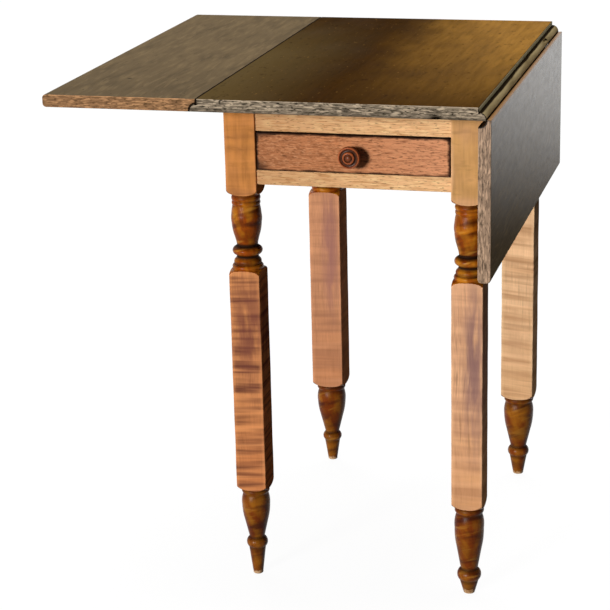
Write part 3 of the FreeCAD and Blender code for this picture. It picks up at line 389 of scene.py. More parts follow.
def nearness(tree, spot, centre, reach, most=1.0):
    """The most at a place, falling to 0 at a reach from it along X, Y and Z, all in millimetres."""
    spread = add(tree, "Mapping", {"Vector": spot, "Scale": [1000 / part for part in reach]})
    middle = [part / far for part, far in zip(centre, reach)]
    away = add(tree, "VectorMath", {0: spread.outputs[0], 1: middle}, operation="DISTANCE").outputs["Value"]
    return add(tree, "MapRange", {0: away, 1: 0.2, 2: 1.0, 3: most, 4: 0.0},
               interpolation_type="SMOOTHSTEP").outputs[0]


def coats(tree, spot, tone, *layers):
    """Lay colours over a tone in turn, each where noise lets it through, as pattern does, or by a mask."""
    for colour, share in layers:
        if not isinstance(share, bpy.types.NodeSocket):
            share = pattern(tree, spot, *share)
        tone = add(tree, "Mix", {0: share, 6: tone, 7: colour}, data_type="RGBA").outputs[2]
    return tone


def within(tree, place, low, high, soft=0.3 * MM):
    """1 where a place in metres lies between two bounds, with soft edges."""
    rising = add(tree, "MapRange", {0: place, 1: low - soft, 2: low + soft}).outputs[0]
    falling = add(tree, "MapRange", {0: place, 1: high - soft, 2: high + soft, 3: 1.0, 4: 0.0}).outputs[0]
    return add(tree, "Math", {0: rising, 1: falling}, operation="MULTIPLY").outputs[0]


def along(axis, across, length_mm):
    """Sizes of a pattern that runs along X (0), Y (1) or Z (2)."""
    return [length_mm if place == axis else across for place in range(3)]


def shade(colour, share):
    """A lighter or darker tone of a colour."""
    return (*(min(part * share, 1.0) for part in colour[:3]), 1.0)


def place_on(tree, centre=(0, 0, 0), turn=(0, 0, 0)):
    """Where a point lies on its piece, from a centre in metres and turned to suit the piece."""
    spot = add(tree, "TexCoord").outputs["Object"]
    moved = add(tree, "VectorMath", {0: spot, 1: centre}, operation="SUBTRACT").outputs[0]
    return add(tree, "Mapping", {"Vector": moved, "Rotation": turn}).outputs[0]


def grain(tree, spot, axis, colour, width=7.0, depth=0.62, pores=0.5):
    """The run of a plain board: slow patches, lengthwise streaks and fine pores.

    Width is a streak's in millimetres, depth the tone between streaks, pores how far they show.
    The grain sways by up to 12 mm over 125 mm. The pores are drawn 1.6 mm wide, coarser than they are,
    so that they show. Gives the place that sways with the grain, the colour and the height.
    """
    sway = add(tree, "TexNoise", {"Vector": spot, "Scale": 1000 / 125, "Detail": 1.0})
    spot = add(tree, "VectorMath", {0: sway.outputs["Color"], 1: (12 * MM,) * 3, 2: spot},
               operation="MULTIPLY_ADD").outputs[0]
    streak = pattern(tree, spot, along(axis, width, width * 16), 0.3, 0.7, 3.0)
    pore = pattern(tree, spot, along(axis, 1.6, 28), 0.52, 0.78, 2.0, pores)
    tone = coats(tree, spot, shade(colour, depth), (shade(colour, 1.12), streak),
                 (shade(colour, 0.88), (along(axis, 55, 150), 0.3, 0.7, 2.0, 0.5)),
                 (shade(colour, 0.38), pore))
    relief = add(tree, "Math", {0: pore, 1: -1.2, 2: streak}, operation="MULTIPLY_ADD").outputs[0]
    return spot, tone, relief


def finish(tree, colour, relief, rough, specular, bump=0.15, metallic=0.0, coat=0.0):
    """Close a material: colour, roughness, a bump given in millimetres and a coat of gloss."""
    lift = add(tree, "Bump", {"Height": relief, "Distance": bump * MM})
    surface = add(tree, "BsdfPrincipled", {
        "Base Color": colour, "Roughness": rough, "Metallic": metallic, "Specular IOR Level": specular,
        "Coat Weight": coat, "Coat Roughness": 0.22, "Normal": lift.outputs[0]})
    add(tree, "OutputMaterial", {"Surface": surface.outputs[0]})


def plain_wood(name, axis, colour):
    """Sawn and planed wood with dry, open grain: dull, streaked lengthwise."""
    material, tree = blank(name)
    _, tone, relief = grain(tree, place_on(tree), axis, colour)
    finish(tree, tone, relief, 0.65, 0.02)
    return material


def rail_maple(name, colour):
    """Maple rails under thin amber varnish: pale, browner to the left, with long brown streaks and short
    flecks of dirt."""
    material, tree = blank(name)
    here = place_on(tree)
    _, tone, relief = grain(tree, here, 0, colour, 5.0, 0.85, 0.4)
    left = add(tree, "MapRange", {0: add(tree, "SeparateXYZ", {0: here}).outputs[0], 1: 0.06, 2: -0.13,
                                  4: 0.45}).outputs[0]
    tone = coats(tree, here, tone,
                 (linear("#b5773f"), ((26, 8, 2.0), 0.46, 0.68, 3.0, 0.65)),
                 (shade(colour, 1.35), ((18, 8, 1.8), 0.48, 0.66, 3.0, 0.75)),
                 (linear("#a26c40"), left),
                 (linear("#6a4426"), ((7, 6, 1.6), 0.58, 0.72, 3.0, 0.8)))
    finish(tree, tone, relief, 0.6, 0.02)
    return material


def end_grain(tree, spot, colour, strength):
    """The ends of a board, which face front and back: weathered, with streaks that run along X, about
    20 mm long and more or less strong.

    Gives 1 where the surface is an end, and its colour, paler along the worn edge.
    """
    run = 20
    facing = add(tree, "SeparateXYZ", {0: add(tree, "TexCoord").outputs["Normal"]}).outputs[1]
    facing = add(tree, "Math", {0: facing}, operation="ABSOLUTE").outputs[0]
    ends = add(tree, "MapRange", {0: facing, 1: 0.3, 2: 0.5}).outputs[0]
    rubbed = add(tree, "Math", {0: within(tree, facing, 0.4, 0.86, 0.1), 1: pattern(
        tree, spot, (22, 8, 8), 0.42, 0.56, 3.0, 0.85)}, operation="MULTIPLY").outputs[0]
    return ends, coats(
        tree, spot, colour,
        (shade(colour, 0.3), ((run, 6, 3.0), 0.44, 0.6, 3.0, 0.9 * strength)),
        (shade(colour, 2.2), ((run * 0.6, 6, 2.2), 0.5, 0.62, 3.0, 0.85 * strength)),
        (shade(colour, 0.1), ((run * 0.3, 5, 2.0), 0.54, 0.64, 4.0, 0.95 * strength)),
        (shade(colour, 1.9), rubbed))


def in_joint(tree, reach, rise, inner, outer):
    """1 in the dirty seam of a rule joint, seen on a board's end: a ring about the hinge pin between two
    radii, and the upright step above it, all in millimetres. Reach and rise are counted from the pin."""
    flat = add(tree, "CombineXYZ", {0: reach, 1: rise})
    away = add(tree, "VectorMath", {0: flat.outputs[0]}, operation="LENGTH").outputs["Value"]
    past = add(tree, "Math", {0: reach, 1: 0.0}, operation="GREATER_THAN").outputs[0]
    ring = add(tree, "Math", {0: within(tree, away, inner * MM, outer * MM), 1: past},
               operation="MULTIPLY").outputs[0]
    high = add(tree, "Math", {0: rise, 1: (inner - 1) * MM}, operation="GREATER_THAN").outputs[0]
    side = add(tree, "Math", {0: within(tree, reach, -1.2 * MM, 1.4 * MM), 1: high},
               operation="MULTIPLY").outputs[0]
    return add(tree, "Math", {0: ring, 1: side}, operation="MAXIMUM").outputs[0]


def top_varnish(name, tones, pin):
    """A maple top under old oil varnish: dark brown, with a painted grey sheen to the left and a painted
    golden reflection to the right and the back. The ends are grey, darker below, and the front one is chipped,
    with a painted shadow in the break. Dirt fills the rule joints, their quarter rounds are dusty, and a painted
    shadow of the step lies across the top of each."""
    material, tree = blank(name)
    here = place_on(tree)
    spot, tone, relief = grain(tree, here, 1, tones.top, 11.0, 0.7, 0.35)
    parts = add(tree, "SeparateXYZ", {0: here})
    cloud = pattern(tree, spot, (80, 150, 80), 0.3, 0.7)
    # The golden tone, strongest right of the middle and towards the back, is a painted reflection broken up by
    # noise
    right = add(tree, "Math", {0: cloud, 1: 0.03, 2: parts.outputs[0]}, operation="MULTIPLY_ADD").outputs[0]
    right = add(tree, "MapRange", {0: right, 1: -0.05, 2: 0.19}, interpolation_type="SMOOTHSTEP").outputs[0]
    back = add(tree, "MapRange", {0: parts.outputs[1], 1: -0.33, 2: 0.26, 3: 0.14, 4: 1.3}).outputs[0]
    cloud = add(tree, "MapRange", {0: cloud, 3: 0.8, 4: 1.2}).outputs[0]
    worn = add(tree, "Math", {0: right, 1: back}, operation="MULTIPLY").outputs[0]
    worn = add(tree, "Math", {0: worn, 1: cloud}, operation="MULTIPLY", use_clamp=True).outputs[0]
    gold = coats(tree, spot, tones.gold, (shade(tones.gold, 0.7), ((7, 70, 7), 0.4, 0.66, 3.0, 0.8)))
    # Greyer to the left, most in the front half: a painted sheen
    grey = add(tree, "MapRange", {0: parts.outputs[0], 1: -0.03, 2: -0.17, 4: 0.7}).outputs[0]
    near = add(tree, "MapRange", {0: parts.outputs[1], 1: 0.3, 2: 0.0, 3: 0.1}).outputs[0]
    grey = add(tree, "Math", {0: grey, 1: near}, operation="MULTIPLY").outputs[0]
    tone = coats(tree, spot, tone, (linear("#6b5834"), grey), (gold, worn),
                 (shade(tones.top, 0.3), ((7, 16, 7), 0.6, 0.76, 3.0, 0.5)),
                 (shade(tones.gold, 1.3), ((4, 12, 4), 0.66, 0.78, 3.0, 0.3)))
    reach = add(tree, "Math", {0: parts.outputs[0]}, operation="ABSOLUTE").outputs[0]
    reach = add(tree, "Math", {0: reach, 1: pin[0]}, operation="SUBTRACT").outputs[0]
    rise = add(tree, "Math", {0: parts.outputs[2], 1: pin[2]}, operation="SUBTRACT").outputs[0]
    frayed = add(tree, "Math", {0: pattern(tree, spot, (6, 70, 6), 0.2, 0.8, 3.0), 1: 0.0008, 2: rise},
                 operation="MULTIPLY_ADD").outputs[0]
    dust_and_step_shadow = coats(tree, spot, linear("#c4ad7e"), (linear("#85704a"), ((14, 90, 14), 0.42, 0.7, 3.0, 0.8)),
                 (linear("#f0dfb0"), within(tree, rise, 9.8 * MM, 30 * MM)),
                 # A dark band where the step meets the quarter round: a painted shadow of the step
                 (linear("#241a0d"), within(tree, frayed, 8.8 * MM, 10.6 * MM)),
                 (linear("#1d150b"), within(tree, frayed, -20 * MM, 2.2 * MM)))
    ends, cut = end_grain(tree, here, tones.end_grain, 1.0)
    under = add(tree, "MapRange", {0: rise, 1: 0.006, 2: -0.001, 4: 0.6}).outputs[0]
    cut = coats(tree, spot, cut, (shade(tones.end_grain, 0.3), under),
                (linear("#140d07"), in_joint(tree, reach, rise, 8.4, 9.7)))
    # Near black in the chip in the top's front edge: a painted shadow in the break
    chip_shadow = nearness(tree, here, (131, -331, 704), (14, 12, 7))
    tone = coats(tree, spot, tone,
                 (linear("#1f160b"), within(tree, reach, -1 * MM, 2 * MM, 0.5 * MM)),
                 (dust_and_step_shadow, add(tree, "MapRange", {0: reach, 1: -0.0004, 2: -0.0001}).outputs[0]), (cut, ends),
                 (linear("#120c07"), chip_shadow))
    rough = add(tree, "MapRange", {0: cloud, 1: 0.8, 2: 1.2, 3: 0.42, 4: 0.6}).outputs[0]
    finish(tree, tone, relief, rough, 0.001)
    return material


def leaf_varnish(name, colour, ends, nose, pin, turn, marks, glossy=False):
    """A maple leaf under old oil varnish: grey brown, mottled lengthwise, darker towards the front, rubbed
    or dirty along the nose of its rule joint. On the leaf, X runs out from the hinge pin and Z up through
    its thickness. A nose is a colour and a width, a mark a middle, a size and a strength, in millimetres.
    Gloss lies by the joint and at the back, and is worn away outwards and to the front."""
    material, tree = blank(name)
    here = place_on(tree, pin, turn)
    spot, tone, relief = grain(tree, here, 1, colour, 9.0, 0.74, 0.35)
    parts = add(tree, "SeparateXYZ", {0: here})
    reach, rise = parts.outputs[0], parts.outputs[2]
    depth = add(tree, "SeparateXYZ", {0: place_on(tree)}).outputs[1]
    front = add(tree, "MapRange", {0: depth, 1: -0.05, 2: -0.33, 4: 0.6}).outputs[0]
    tone = coats(tree, spot, tone, (shade(colour, 0.62), front),
                 (shade(colour, 0.5), ((24, 80, 24), 0.48, 0.72, 3.0, 0.7)),
                 (shade(colour, 1.5), ((6, 45, 6), 0.52, 0.74, 3.0, 0.5)),
                 (shade(colour, 0.25), ((4, 9, 4), 0.64, 0.76, 3.0, 0.6)),
                 *((shade(colour, 0.12), nearness(tree, spot, *mark)) for mark in marks))
    nose_colour, nose_width = nose[0], nose[1] * MM
    frayed = pattern(tree, spot, (4, 16, 4), 0.2, 0.8, 3.0)
    frayed = add(tree, "Math", {0: frayed, 1: nose_width * 0.6, 2: reach},
                 operation="MULTIPLY_ADD").outputs[0]
    rubbed = add(tree, "MapRange", {0: frayed, 1: nose_width, 2: nose_width * 0.85}).outputs[0]
    flat = add(tree, "CombineXYZ", {0: reach, 1: rise})
    away = add(tree, "VectorMath", {0: flat.outputs[0]}, operation="LENGTH").outputs["Value"]
    hollow = add(tree, "Math", {0: away, 1: 10.4 * MM}, operation="LESS_THAN").outputs[0]
    cut_side, cut = end_grain(tree, here, ends, 0.6)
    cut = coats(tree, spot, cut, (linear("#140d07"), in_joint(tree, reach, rise, 9.8, 11.2)))
    tone = coats(tree, spot, tone, (nose_colour, rubbed), (linear("#2a1d10"), hollow), (cut, cut_side))
    specular, coat = 0.015, 0.0
    if glossy:
        worn = add(tree, "Math", {0: parts.outputs[1], 1: -0.24, 2: reach},
                   operation="MULTIPLY_ADD").outputs[0]
        left = add(tree, "MapRange", {0: worn, 1: -0.06, 2: 0.26, 3: 1.0, 4: 0.03},
                   interpolation_type="SMOOTHSTEP").outputs[0]
        patchy = pattern(tree, spot, (9, 22, 9), 0.25, 0.75, 4.0)
        patchy = add(tree, "MapRange", {0: patchy, 3: 0.75, 4: 1.0}).outputs[0]
        specular = 0.0
        coat = add(tree, "Math", {0: left, 1: patchy}, operation="MULTIPLY").outputs[0]
    finish(tree, tone, relief, 0.55, specular, coat=coat)
    return material


def curly_maple(name, middle, seed, colours, bands, foot, stain_and_glare):
    """Curly maple, sawn square, under amber varnish gone dry: bands across the grain and streaks along it,
    a plainer block at the top, another tone above the foot, a patch of old stain that on the front right leg is a
    painted glare, and rubbed corners.
    Bands are their tilt in degrees, their thickness in millimetres, and how strong the dark ones, the
    bright ones and the streaks are. The patch is given as a colour, a middle, a size and a strength."""
    material, tree = blank(name)
    colour, curl, block = colours
    tilt, thick, dark, bright, streaked = bands
    here = place_on(tree, middle)
    away = add(tree, "VectorMath", {0: here, 1: (SEED_APART * seed,) * 3}, operation="ADD").outputs[0]
    tilted = add(tree, "Mapping", {"Vector": away, "Rotation": (0.0, math.radians(tilt), 0.0)}).outputs[0]
    level = add(tree, "SeparateXYZ", {0: here}).outputs[2]
    upper = add(tree, "MapRange", {0: level, 1: 0.55, 2: 0.585}).outputs[0]
    spot, tone, relief = grain(tree, away, 2, colour, 7.0, 0.88, 0.35)
    tone = coats(tree, spot, tone, (shade(colour, 1.3), ((1.8, 1.8, 35), 0.52, 0.72, 2.0, 0.5)),
                 (shade(colour, 0.5), ((2.5, 2.5, 70), 0.54, 0.72, 2.0, streaked)))
    block = coats(tree, spot, block, (shade(block, 0.62), ((6, 6, 80), 0.42, 0.72, 3.0, 0.7)),
                  (shade(block, 1.25), ((18, 18, 34), 0.48, 0.7, 2.0, 0.6)),
                  (shade(block, 0.5), ((30, 30, 9), 0.56, 0.76, 2.0, 0.5)))
    tone = coats(tree, spot, tone, (block, upper))
    spot = add(tree, "VectorMath", {0: spot, 1: away}, operation="SUBTRACT").outputs[0]
    spot = add(tree, "VectorMath", {0: spot, 1: (0.35,) * 3, 2: tilted},
               operation="MULTIPLY_ADD").outputs[0]
    # A patch of stain; on the front right leg it stands for a painted glare
    patch = add(tree, "Math", {0: nearness(tree, here, *stain_and_glare[1:]), 1: pattern(
        tree, spot, (9, 9, 50), 0.25, 0.55, 3.0)}, operation="MULTIPLY").outputs[0]
    still = add(tree, "MapRange", {0: upper, 3: 1.0, 4: 0.2}).outputs[0]
    figures = []
    for size, low, high, most in ((thick, 0.42, 0.66, dark), (thick * 0.5, 0.5, 0.7, dark * 0.6),
                                  (thick * 0.8, 0.5, 0.7, bright)):
        figure = pattern(tree, spot, (150, 150, size), low, high, 2.0, most)
        figures.append(add(tree, "Math", {0: figure, 1: still}, operation="MULTIPLY").outputs[0])
    corner = add(tree, "Attribute", attribute_name="corner").outputs["Fac"]
    rubbed = add(tree, "Math", {0: corner, 1: pattern(tree, away, (9, 9, 40), 0.35, 0.6, 3.0, 0.6)},
                 operation="MULTIPLY").outputs[0]
    low = add(tree, "MapRange", {0: level, 1: 0.3, 2: 0.16, 4: 0.55}).outputs[0]
    tone = coats(tree, spot, tone,
                 (shade(colour, 0.8), ((40, 40, 70), 0.4, 0.7, 2.0, 0.6)), (linear(foot), low),
                 (curl, figures[0]), (shade(curl, 0.8), figures[1]), (shade(colour, 1.2), figures[2]),
                 (linear(stain_and_glare[0]), patch), (shade(colour, 1.3), rubbed))
    finish(tree, tone, relief, 0.65, 0.0)
    return material


def turned_maple(name, middle, seed, colour, recess):
    """Maple turned on the lathe under dark glossy varnish: swirled gold and brown, darker on the foot,
    black and dull in the recesses, worn pale at the tip of the foot."""
    material, tree = blank(name)
    here = place_on(tree, (middle[0] + SEED_APART * seed, middle[1], 0.0), (0.25, 0.3, 0.0))
    spot, tone, relief = grain(tree, here, 2, colour, 4.0, 0.7, 0.4)
    level = add(tree, "SeparateXYZ", {0: place_on(tree)}).outputs[2]
    frayed = add(tree, "Math", {0: pattern(tree, spot, (5, 5, 5), 0.2, 0.8), 1: 0.008, 2: level},
                 operation="MULTIPLY_ADD").outputs[0]
    groove = add(tree, "Attribute", attribute_name="recess").outputs["Fac"]
    foot = add(tree, "MapRange", {0: level, 1: 0.17, 2: 0.13, 4: 0.5}).outputs[0]
    tip = add(tree, "MapRange", {0: frayed, 1: 0.010, 2: 0.006}).outputs[0]
    tone = coats(tree, spot, tone,
                 (linear("#cf8420"), ((16, 16, 45), 0.42, 0.64, 2.0, 0.8)),
                 (linear("#451605"), ((45, 45, 13), 0.48, 0.68, 2.0, 0.85)),
                 (linear("#e09a3a"), ((40, 40, 6), 0.58, 0.72, 2.0, 0.6)),
                 (linear("#431404"), foot), (recess, groove), (linear("#c9a37a"), tip))
    rough = add(tree, "MapRange", {0: groove, 3: 0.24, 4: 0.7}).outputs[0]
    finish(tree, tone, relief, rough, 0.08)
    return material


def flecked_cherry(name, centre, half, colour):
    """Flat-sawn cherry under thin red varnish: darker to the left, with short flecks along the grain, dirt
    along the edges of the drawer front and stains at its left corners."""
    material, tree = blank(name)
    here = place_on(tree, centre)
    spot, tone, relief = grain(tree, here, 0, colour, 4.0, 0.7, 0.5)
    across = add(tree, "SeparateXYZ", {0: here}).outputs[0]
    left = add(tree, "MapRange", {0: across, 1: -0.02, 2: -0.13, 4: 0.6}).outputs[0]
    right = add(tree, "MapRange", {0: across, 1: -0.02, 2: 0.11, 4: 0.75}).outputs[0]
    tone = coats(tree, here, tone, (shade(colour, 0.62), left), (linear("#e09c72"), right),
                 (linear("#6a3820"), ((16, 4, 1.6), 0.48, 0.7, 3.0, 0.65)),
                 (linear("#dd9f72"), ((5, 4, 1.8), 0.5, 0.7, 3.0, 0.55)),
                 (linear("#45200f"), ((6, 4, 1.6), 0.56, 0.72, 3.0, 0.7)))
    apart = add(tree, "VectorMath", {0: here}, operation="ABSOLUTE").outputs[0]
    apart = add(tree, "SeparateXYZ", {0: apart})
    for part, size, width in ((0, half[0], 4.5 * MM), (2, half[2], 3.6 * MM)):
        frayed = add(tree, "Math", {0: pattern(tree, spot, (16, 6, 6), 0.2, 0.8, 3.0), 1: width,
                                    2: apart.outputs[part]}, operation="MULTIPLY_ADD").outputs[0]
        dirt = add(tree, "MapRange", {0: frayed, 1: size - width * 0.4, 2: size + width * 0.3,
                                      4: 0.94}).outputs[0]
        tone = coats(tree, spot, tone, (linear("#1c0d08"), dirt))
    for place, size in (((-half[0], -half[2]), (26, 40, 22)), ((-half[0], half[2]), (34, 40, 9))):
        stain = nearness(tree, here, (place[0] / MM, 0, place[1] / MM), size, 0.85)
        tone = coats(tree, spot, tone, (linear("#2a1a14"), stain))
    finish(tree, tone, relief, 0.5, 0.03)
    return material


def stained_knob(name, colour, recess):
    """A turned hardwood knob stained red brown: dark in its recess, rubbed paler on its rings."""
    material, tree = blank(name)
    spot, tone, relief = grain(tree, place_on(tree), 0, colour, 4.0, 0.6)
    groove = add(tree, "Attribute", attribute_name="recess").outputs["Fac"]
    rubbed = add(tree, "Attribute", attribute_name="rubbed").outputs["Fac"]
    tone = coats(tree, spot, tone, (recess, groove), (shade(colour, 3.0), rubbed))
    finish(tree, tone, relief, 0.32, 0.15)
    return material


def forged_iron(name, colour, rough):
    """Wrought iron gone brown and dull: pitted, with rust in the hollows."""
    material, tree = blank(name)
    spot = place_on(tree)
    pit = pattern(tree, spot, (2, 2, 2), 0.35, 0.7, 4.0)
    tone = coats(tree, spot, shade(colour, 0.6), (shade(colour, 1.3), pit),
                 (linear("#5c3420"), ((9, 9, 9), 0.5, 0.7, 3.0)))
    finish(tree, tone, pit, rough, 0.4, 0.1, 0.7)
    return material


def dress(nodes, material):
    """Give some CAD nodes one material, in place of their own."""
    for node in nodes:
        mesh = frame["nodes"][node].data
        mesh.materials.clear()
        mesh.materials.append(material)


def middle_of(node):
    """The middle of a CAD node's box and half its size."""
    low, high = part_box(node)
    return (low + high) / 2, (high - low) / 2


def stand_for(piece, node, *materials):
    """Let a new piece stand for a CAD node, on its body, in its materials."""
    for material in materials:
        piece.data.materials.append(material)
    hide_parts(node)
    body = [name for name, members in frame["record"]["behaviour"]["bodies"].items() if node in members][0]
    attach(piece, body)


# Operators

class TABLE_OT_boards(bpy.types.Operator):
    """Give the fixed top and the two leaves their worn varnish"""
    bl_idname = "table.boards"
    bl_label = "Top and leaves"

    def execute(self, context):
        tones = context.scene.table_colours
        pins = {joint["name"]: joint["pos_m"] for joint in frame["joints"] if joint["type"] == "hinge"}
        left, right = pins["left_leaf_fold"], pins["right_leaf_fold"]
        dress(["top_board"], top_varnish("worn_varnish_top", tones, right))
        dress(["left_leaf"], leaf_varnish(
            "worn_varnish_left_leaf", tones.leaf, linear("#9c7450"), (linear("#241808"), 3.0),
            left, (0.0, 0.0, math.pi), [((139, 214, 18), (5, 7, 9), 0.8)]))
        # The right leaf's dark mark is painted shade in a small break in the nose of its joint
        dress(["right_leaf"], leaf_varnish(
            "worn_varnish_right_leaf", tones.hanging, linear("#a2866e"), (linear("#ab783e"), 8.0),
            right, (0.0, -math.pi / 2, 0.0), [((2, -200, 14), (9, 10, 9), 0.9)], True))
        return {"FINISHED"}


class TABLE_OT_legs(bpy.types.Operator):
    """Turn the four legs and finish them as curly maple"""
    bl_idname = "table.legs"
    bl_label = "Turned legs"

    def execute(self, context):
        sizes, tones = context.scene.table_sizes, context.scene.table_colours
        # Bands, tone above the foot and patch of stain of each leg, as curly_maple takes them; the front right
        # leg's patch is a painted glare
        looks = {
            "front_left": ((4, 11, 0.85, 0.8, 0.4), "#bf7042",
                           ("#6e3a38", (6, 0, 375), (44, 80, 130), 0.7)),
            "front_right": ((-1, 20, 0.4, 0.35, 0.8), "#d49458",
                            ("#7a5a5e", (10, 0, 350), (23, 80, 190), 0.8)),
            "back_left": ((2, 15, 0.5, 0.35, 0.5), "#c67f4e",
                          ("#9a6862", (9, 0, 370), (22, 80, 170), 0.8)),
            "back_right": ((-5, 11, 0.8, 0.5, 0.5), "#dba876",
                           ("#c89a74", (0, 0, 240), (30, 80, 60), 0.5)),
        }
        for seed, (place, look) in enumerate(looks.items()):
            node = "leg_" + place
            centre, _ = middle_of(node)
            middle = (centre.x, centre.y, 0.0)
            plain = getattr(tones, place)
            colours = (plain, getattr(tones, place + "_curl"), getattr(tones, place + "_block", plain))
            bead = getattr(sizes, place + "_bead")
            stand_for(leg_surface(node, bead, FULL_SHARES[place], sizes, 10 * seed + 3), node,
                      curly_maple("curly_maple_" + place, middle, seed, colours, *look),
                      turned_maple("turned_maple_" + place, middle, seed, tones.turned, tones.recess))
        return {"FINISHED"}


class TABLE_OT_rails(bpy.types.Operator):
    """Finish the front rails and the back apron"""
    bl_idname = "table.rails"
    bl_label = "Rails"

    def execute(self, context):
        wood = rail_maple("amber_maple_rails", context.scene.table_colours.rail)
        dress(["front_upper_rail", "front_lower_rail", "back_apron"], wood)
        return {"FINISHED"}


class TABLE_OT_drawer(bpy.types.Operator):
    """Turn the knob, and finish the drawer's front and its box"""
    bl_idname = "table.drawer"
    bl_label = "Drawer"

    def execute(self, context):
        sizes, tones = context.scene.table_sizes, context.scene.table_colours
        middle, half = middle_of("drawer_front")
        dress(["drawer_front"], flecked_cherry("red_cherry_drawer_front", middle, half, tones.drawer))
        dress(["drawer_left_side", "drawer_right_side"],
              plain_wood("bare_pine_drawer_sides", 1, tones.bare))
        dress(["drawer_back", "drawer_bottom"], plain_wood("bare_pine_drawer_boards", 0, tones.bare))
        stand_for(knob_surface("drawer_knob", sizes), "drawer_knob",
                  stained_knob("stained_knob_wood", tones.knob, tones.recess))
        return {"FINISHED"}


class TABLE_OT_underframe(bpy.types.Operator):
    """Finish the aprons, the fly brackets and what the drawer runs on"""
    bl_idname = "table.underframe"
    bl_label = "Underframe"

    def execute(self, context):
        tones = context.scene.table_colours
        sides = ("left", "right")
        dress([f"{side}_{part}" for side in sides for part in ("apron", "runner", "kicker", "guide")],
              plain_wood("bare_pine_side_frame", 1, tones.bare))
        dress(["drawer_stops", "glue_blocks"], plain_wood("bare_pine_blocks", 0, tones.bare))
        dress([f"{side}_fly_{part}" for side in sides for part in ("rail", "end", "bracket")],
              plain_wood("bare_beech_fly_brackets", 1, tones.fly))
        return {"FINISHED"}


class TABLE_OT_irons(bpy.types.Operator):
    """Finish the hinges, pins, screws and nails"""
    bl_idname = "table.irons"
    bl_label = "Irons"

    def execute(self, context):
        tones = context.scene.table_colours
        parts = frame["record"]["subparts"]
        for slot, name, colour, rough in (("wrought_iron", "wrought_iron", tones.iron, 0.62),
                                          ("screw_iron", "worn_screw_iron", tones.screw, 0.5)):
            dress([part["node"] for part in parts if part["material_slot"] == slot],
                  forged_iron(name, colour, rough))
        return {"FINISHED"}


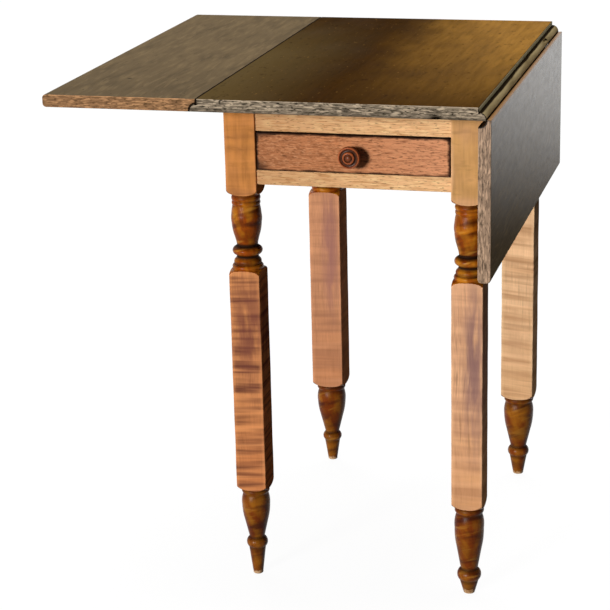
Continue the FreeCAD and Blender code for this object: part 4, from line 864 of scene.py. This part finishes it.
class TABLE_OT_stage(bpy.types.Operator):
    """Set up the pale floor, the light and the camera"""
    bl_idname = "table.stage"
    bl_label = "Studio"

    def execute(self, context):
        stage = context.scene.table_stage
        context.scene.view_settings.view_transform = "Standard"
        self.lay_floor()
        self.light(context.scene, stage)
        self.aim(context.scene, stage)
        return {"FINISHED"}

    def lay_floor(self):
        """A wide pale floor that shows white to the camera and keeps a faint shadow."""
        reach = 60.0
        mesh = bpy.data.meshes.new("floor")
        mesh.from_pydata([(-reach, -reach, 0), (reach, -reach, 0), (reach, reach, 0), (-reach, reach, 0)],
                         [], [(0, 1, 2, 3)])
        floor = bpy.data.objects.new("floor", mesh)
        bpy.context.scene.collection.objects.link(floor)
        material, tree = blank("pale_floor")
        seen = self.seen(tree)
        glow = add(tree, "Math", {0: seen, 1: 0.95}, operation="MULTIPLY").outputs[0]
        surface = add(tree, "BsdfPrincipled", {
            "Base Color": linear("#525252"), "Roughness": 0.9, "Specular IOR Level": 0.0,
            "Emission Color": linear("#ffffff"), "Emission Strength": glow})
        add(tree, "OutputMaterial", {"Surface": surface.outputs[0]})
        mesh.materials.append(material)

    def seen(self, tree):
        """1 for what the camera sees straight, mirrored or through glass, else 0."""
        path = add(tree, "LightPath")
        either = add(tree, "Math", {0: path.outputs["Is Camera Ray"], 1: path.outputs["Is Glossy Ray"]},
                     operation="MAXIMUM").outputs[0]
        return add(tree, "Math", {0: either, 1: path.outputs["Is Transmission Ray"]},
                   operation="MAXIMUM").outputs[0]

    def light(self, scene, stage):
        """A soft, low key from the front left, soft lights from above and behind, and a weak light all
        round. Each lamp has a strength, a turn to the left of the front, a height and a size in degrees.
        The sky is white low down and dims above, so that level faces mirror little of it."""
        lamps = (("key", stage.key, stage.key_turn, stage.key_height, 14),
                 ("above", stage.above, math.pi, math.radians(78), 40),
                 ("rim", stage.rim, math.radians(140), math.radians(36), 40))
        for name, strength, turn, height, size in lamps:
            sun = bpy.data.lights.new(name, "SUN")
            sun.energy, sun.angle = strength, math.radians(size)
            lamp = bpy.data.objects.new(name, sun)
            scene.collection.objects.link(lamp)
            towards = Vector((-math.sin(turn) * math.cos(height), -math.cos(turn) * math.cos(height),
                              math.sin(height)))
            lamp.rotation_euler = towards.to_track_quat("Z", "Y").to_euler()
            lamp.location = towards * 4
        world = bpy.data.worlds.new("studio")
        scene.world = world
        world.use_nodes = True
        tree = world.node_tree
        tree.nodes.clear()
        up = add(tree, "SeparateXYZ", {0: add(tree, "TexCoord").outputs["Generated"]}).outputs[2]
        dim = add(tree, "MapRange", {0: up, 1: 0.16, 2: 0.34, 3: 1.0, 4: 0.12}).outputs[0]
        strength = add(tree, "Mix", {0: self.seen(tree), 2: stage.fill, 3: dim}).outputs[0]
        sky = add(tree, "Background", {"Color": linear("#ffffff"), "Strength": strength})
        add(tree, "OutputWorld", {"Surface": sky.outputs[0]})

    def aim(self, scene, stage):
        """The camera at the photographed angle."""
        tilt, roll, turn = stage.turn
        ahead = Vector((-math.sin(turn) * math.cos(tilt), math.cos(turn) * math.cos(tilt), math.sin(tilt)))
        level = Vector((math.cos(turn), math.sin(turn), 0))
        upright = level.cross(ahead)
        right = math.cos(roll) * level + math.sin(roll) * upright
        up = math.cos(roll) * upright - math.sin(roll) * level
        lens = bpy.data.cameras.new("camera")
        lens.lens, lens.sensor_width, lens.clip_end = stage.lens, 36.0, 200.0
        camera = bpy.data.objects.new("camera", lens)
        turned = Matrix((right, up, -ahead)).transposed().to_4x4()
        camera.matrix_world = Matrix.Translation(stage.camera) @ turned
        scene.collection.objects.link(camera)
        scene.camera = camera


class TABLE_PT_panel(bpy.types.Panel):
    """Lists the steps that dress the table"""
    bl_idname = "TABLE_PT_panel"
    bl_label = "Pembroke table"
    bl_space_type = "VIEW_3D"
    bl_region_type = "UI"
    bl_category = "Table"

    def draw(self, context):
        for step in STEPS:
            self.layout.operator(step.bl_idname)
        for group in GROUPS:
            settings = getattr(context.scene, group)
            for name in settings.bl_rna.properties.keys():
                if name not in ("rna_type", "name"):
                    self.layout.prop(settings, name)


GROUPS = {"table_sizes": TableSizes, "table_colours": TableColours, "table_stage": TableStage}
STEPS = (TABLE_OT_boards, TABLE_OT_legs, TABLE_OT_rails, TABLE_OT_drawer, TABLE_OT_underframe,
         TABLE_OT_irons, TABLE_OT_stage)


def register():
    for group in (*GROUPS.values(), *STEPS, TABLE_PT_panel):
        bpy.utils.register_class(group)
    for name, group in GROUPS.items():
        setattr(bpy.types.Scene, name, bpy.props.PointerProperty(type=group))


def unregister():
    for name in GROUPS:
        delattr(bpy.types.Scene, name)
    for group in reversed((*GROUPS.values(), *STEPS, TABLE_PT_panel)):
        bpy.utils.unregister_class(group)


def main():
    """Dress the table."""
    register()
    bpy.ops.table.boards()
    bpy.ops.table.legs()
    bpy.ops.table.rails()
    bpy.ops.table.drawer()
    bpy.ops.table.underframe()
    bpy.ops.table.irons()
    bpy.ops.table.stage()


if __name__ == "__main__":
    main()
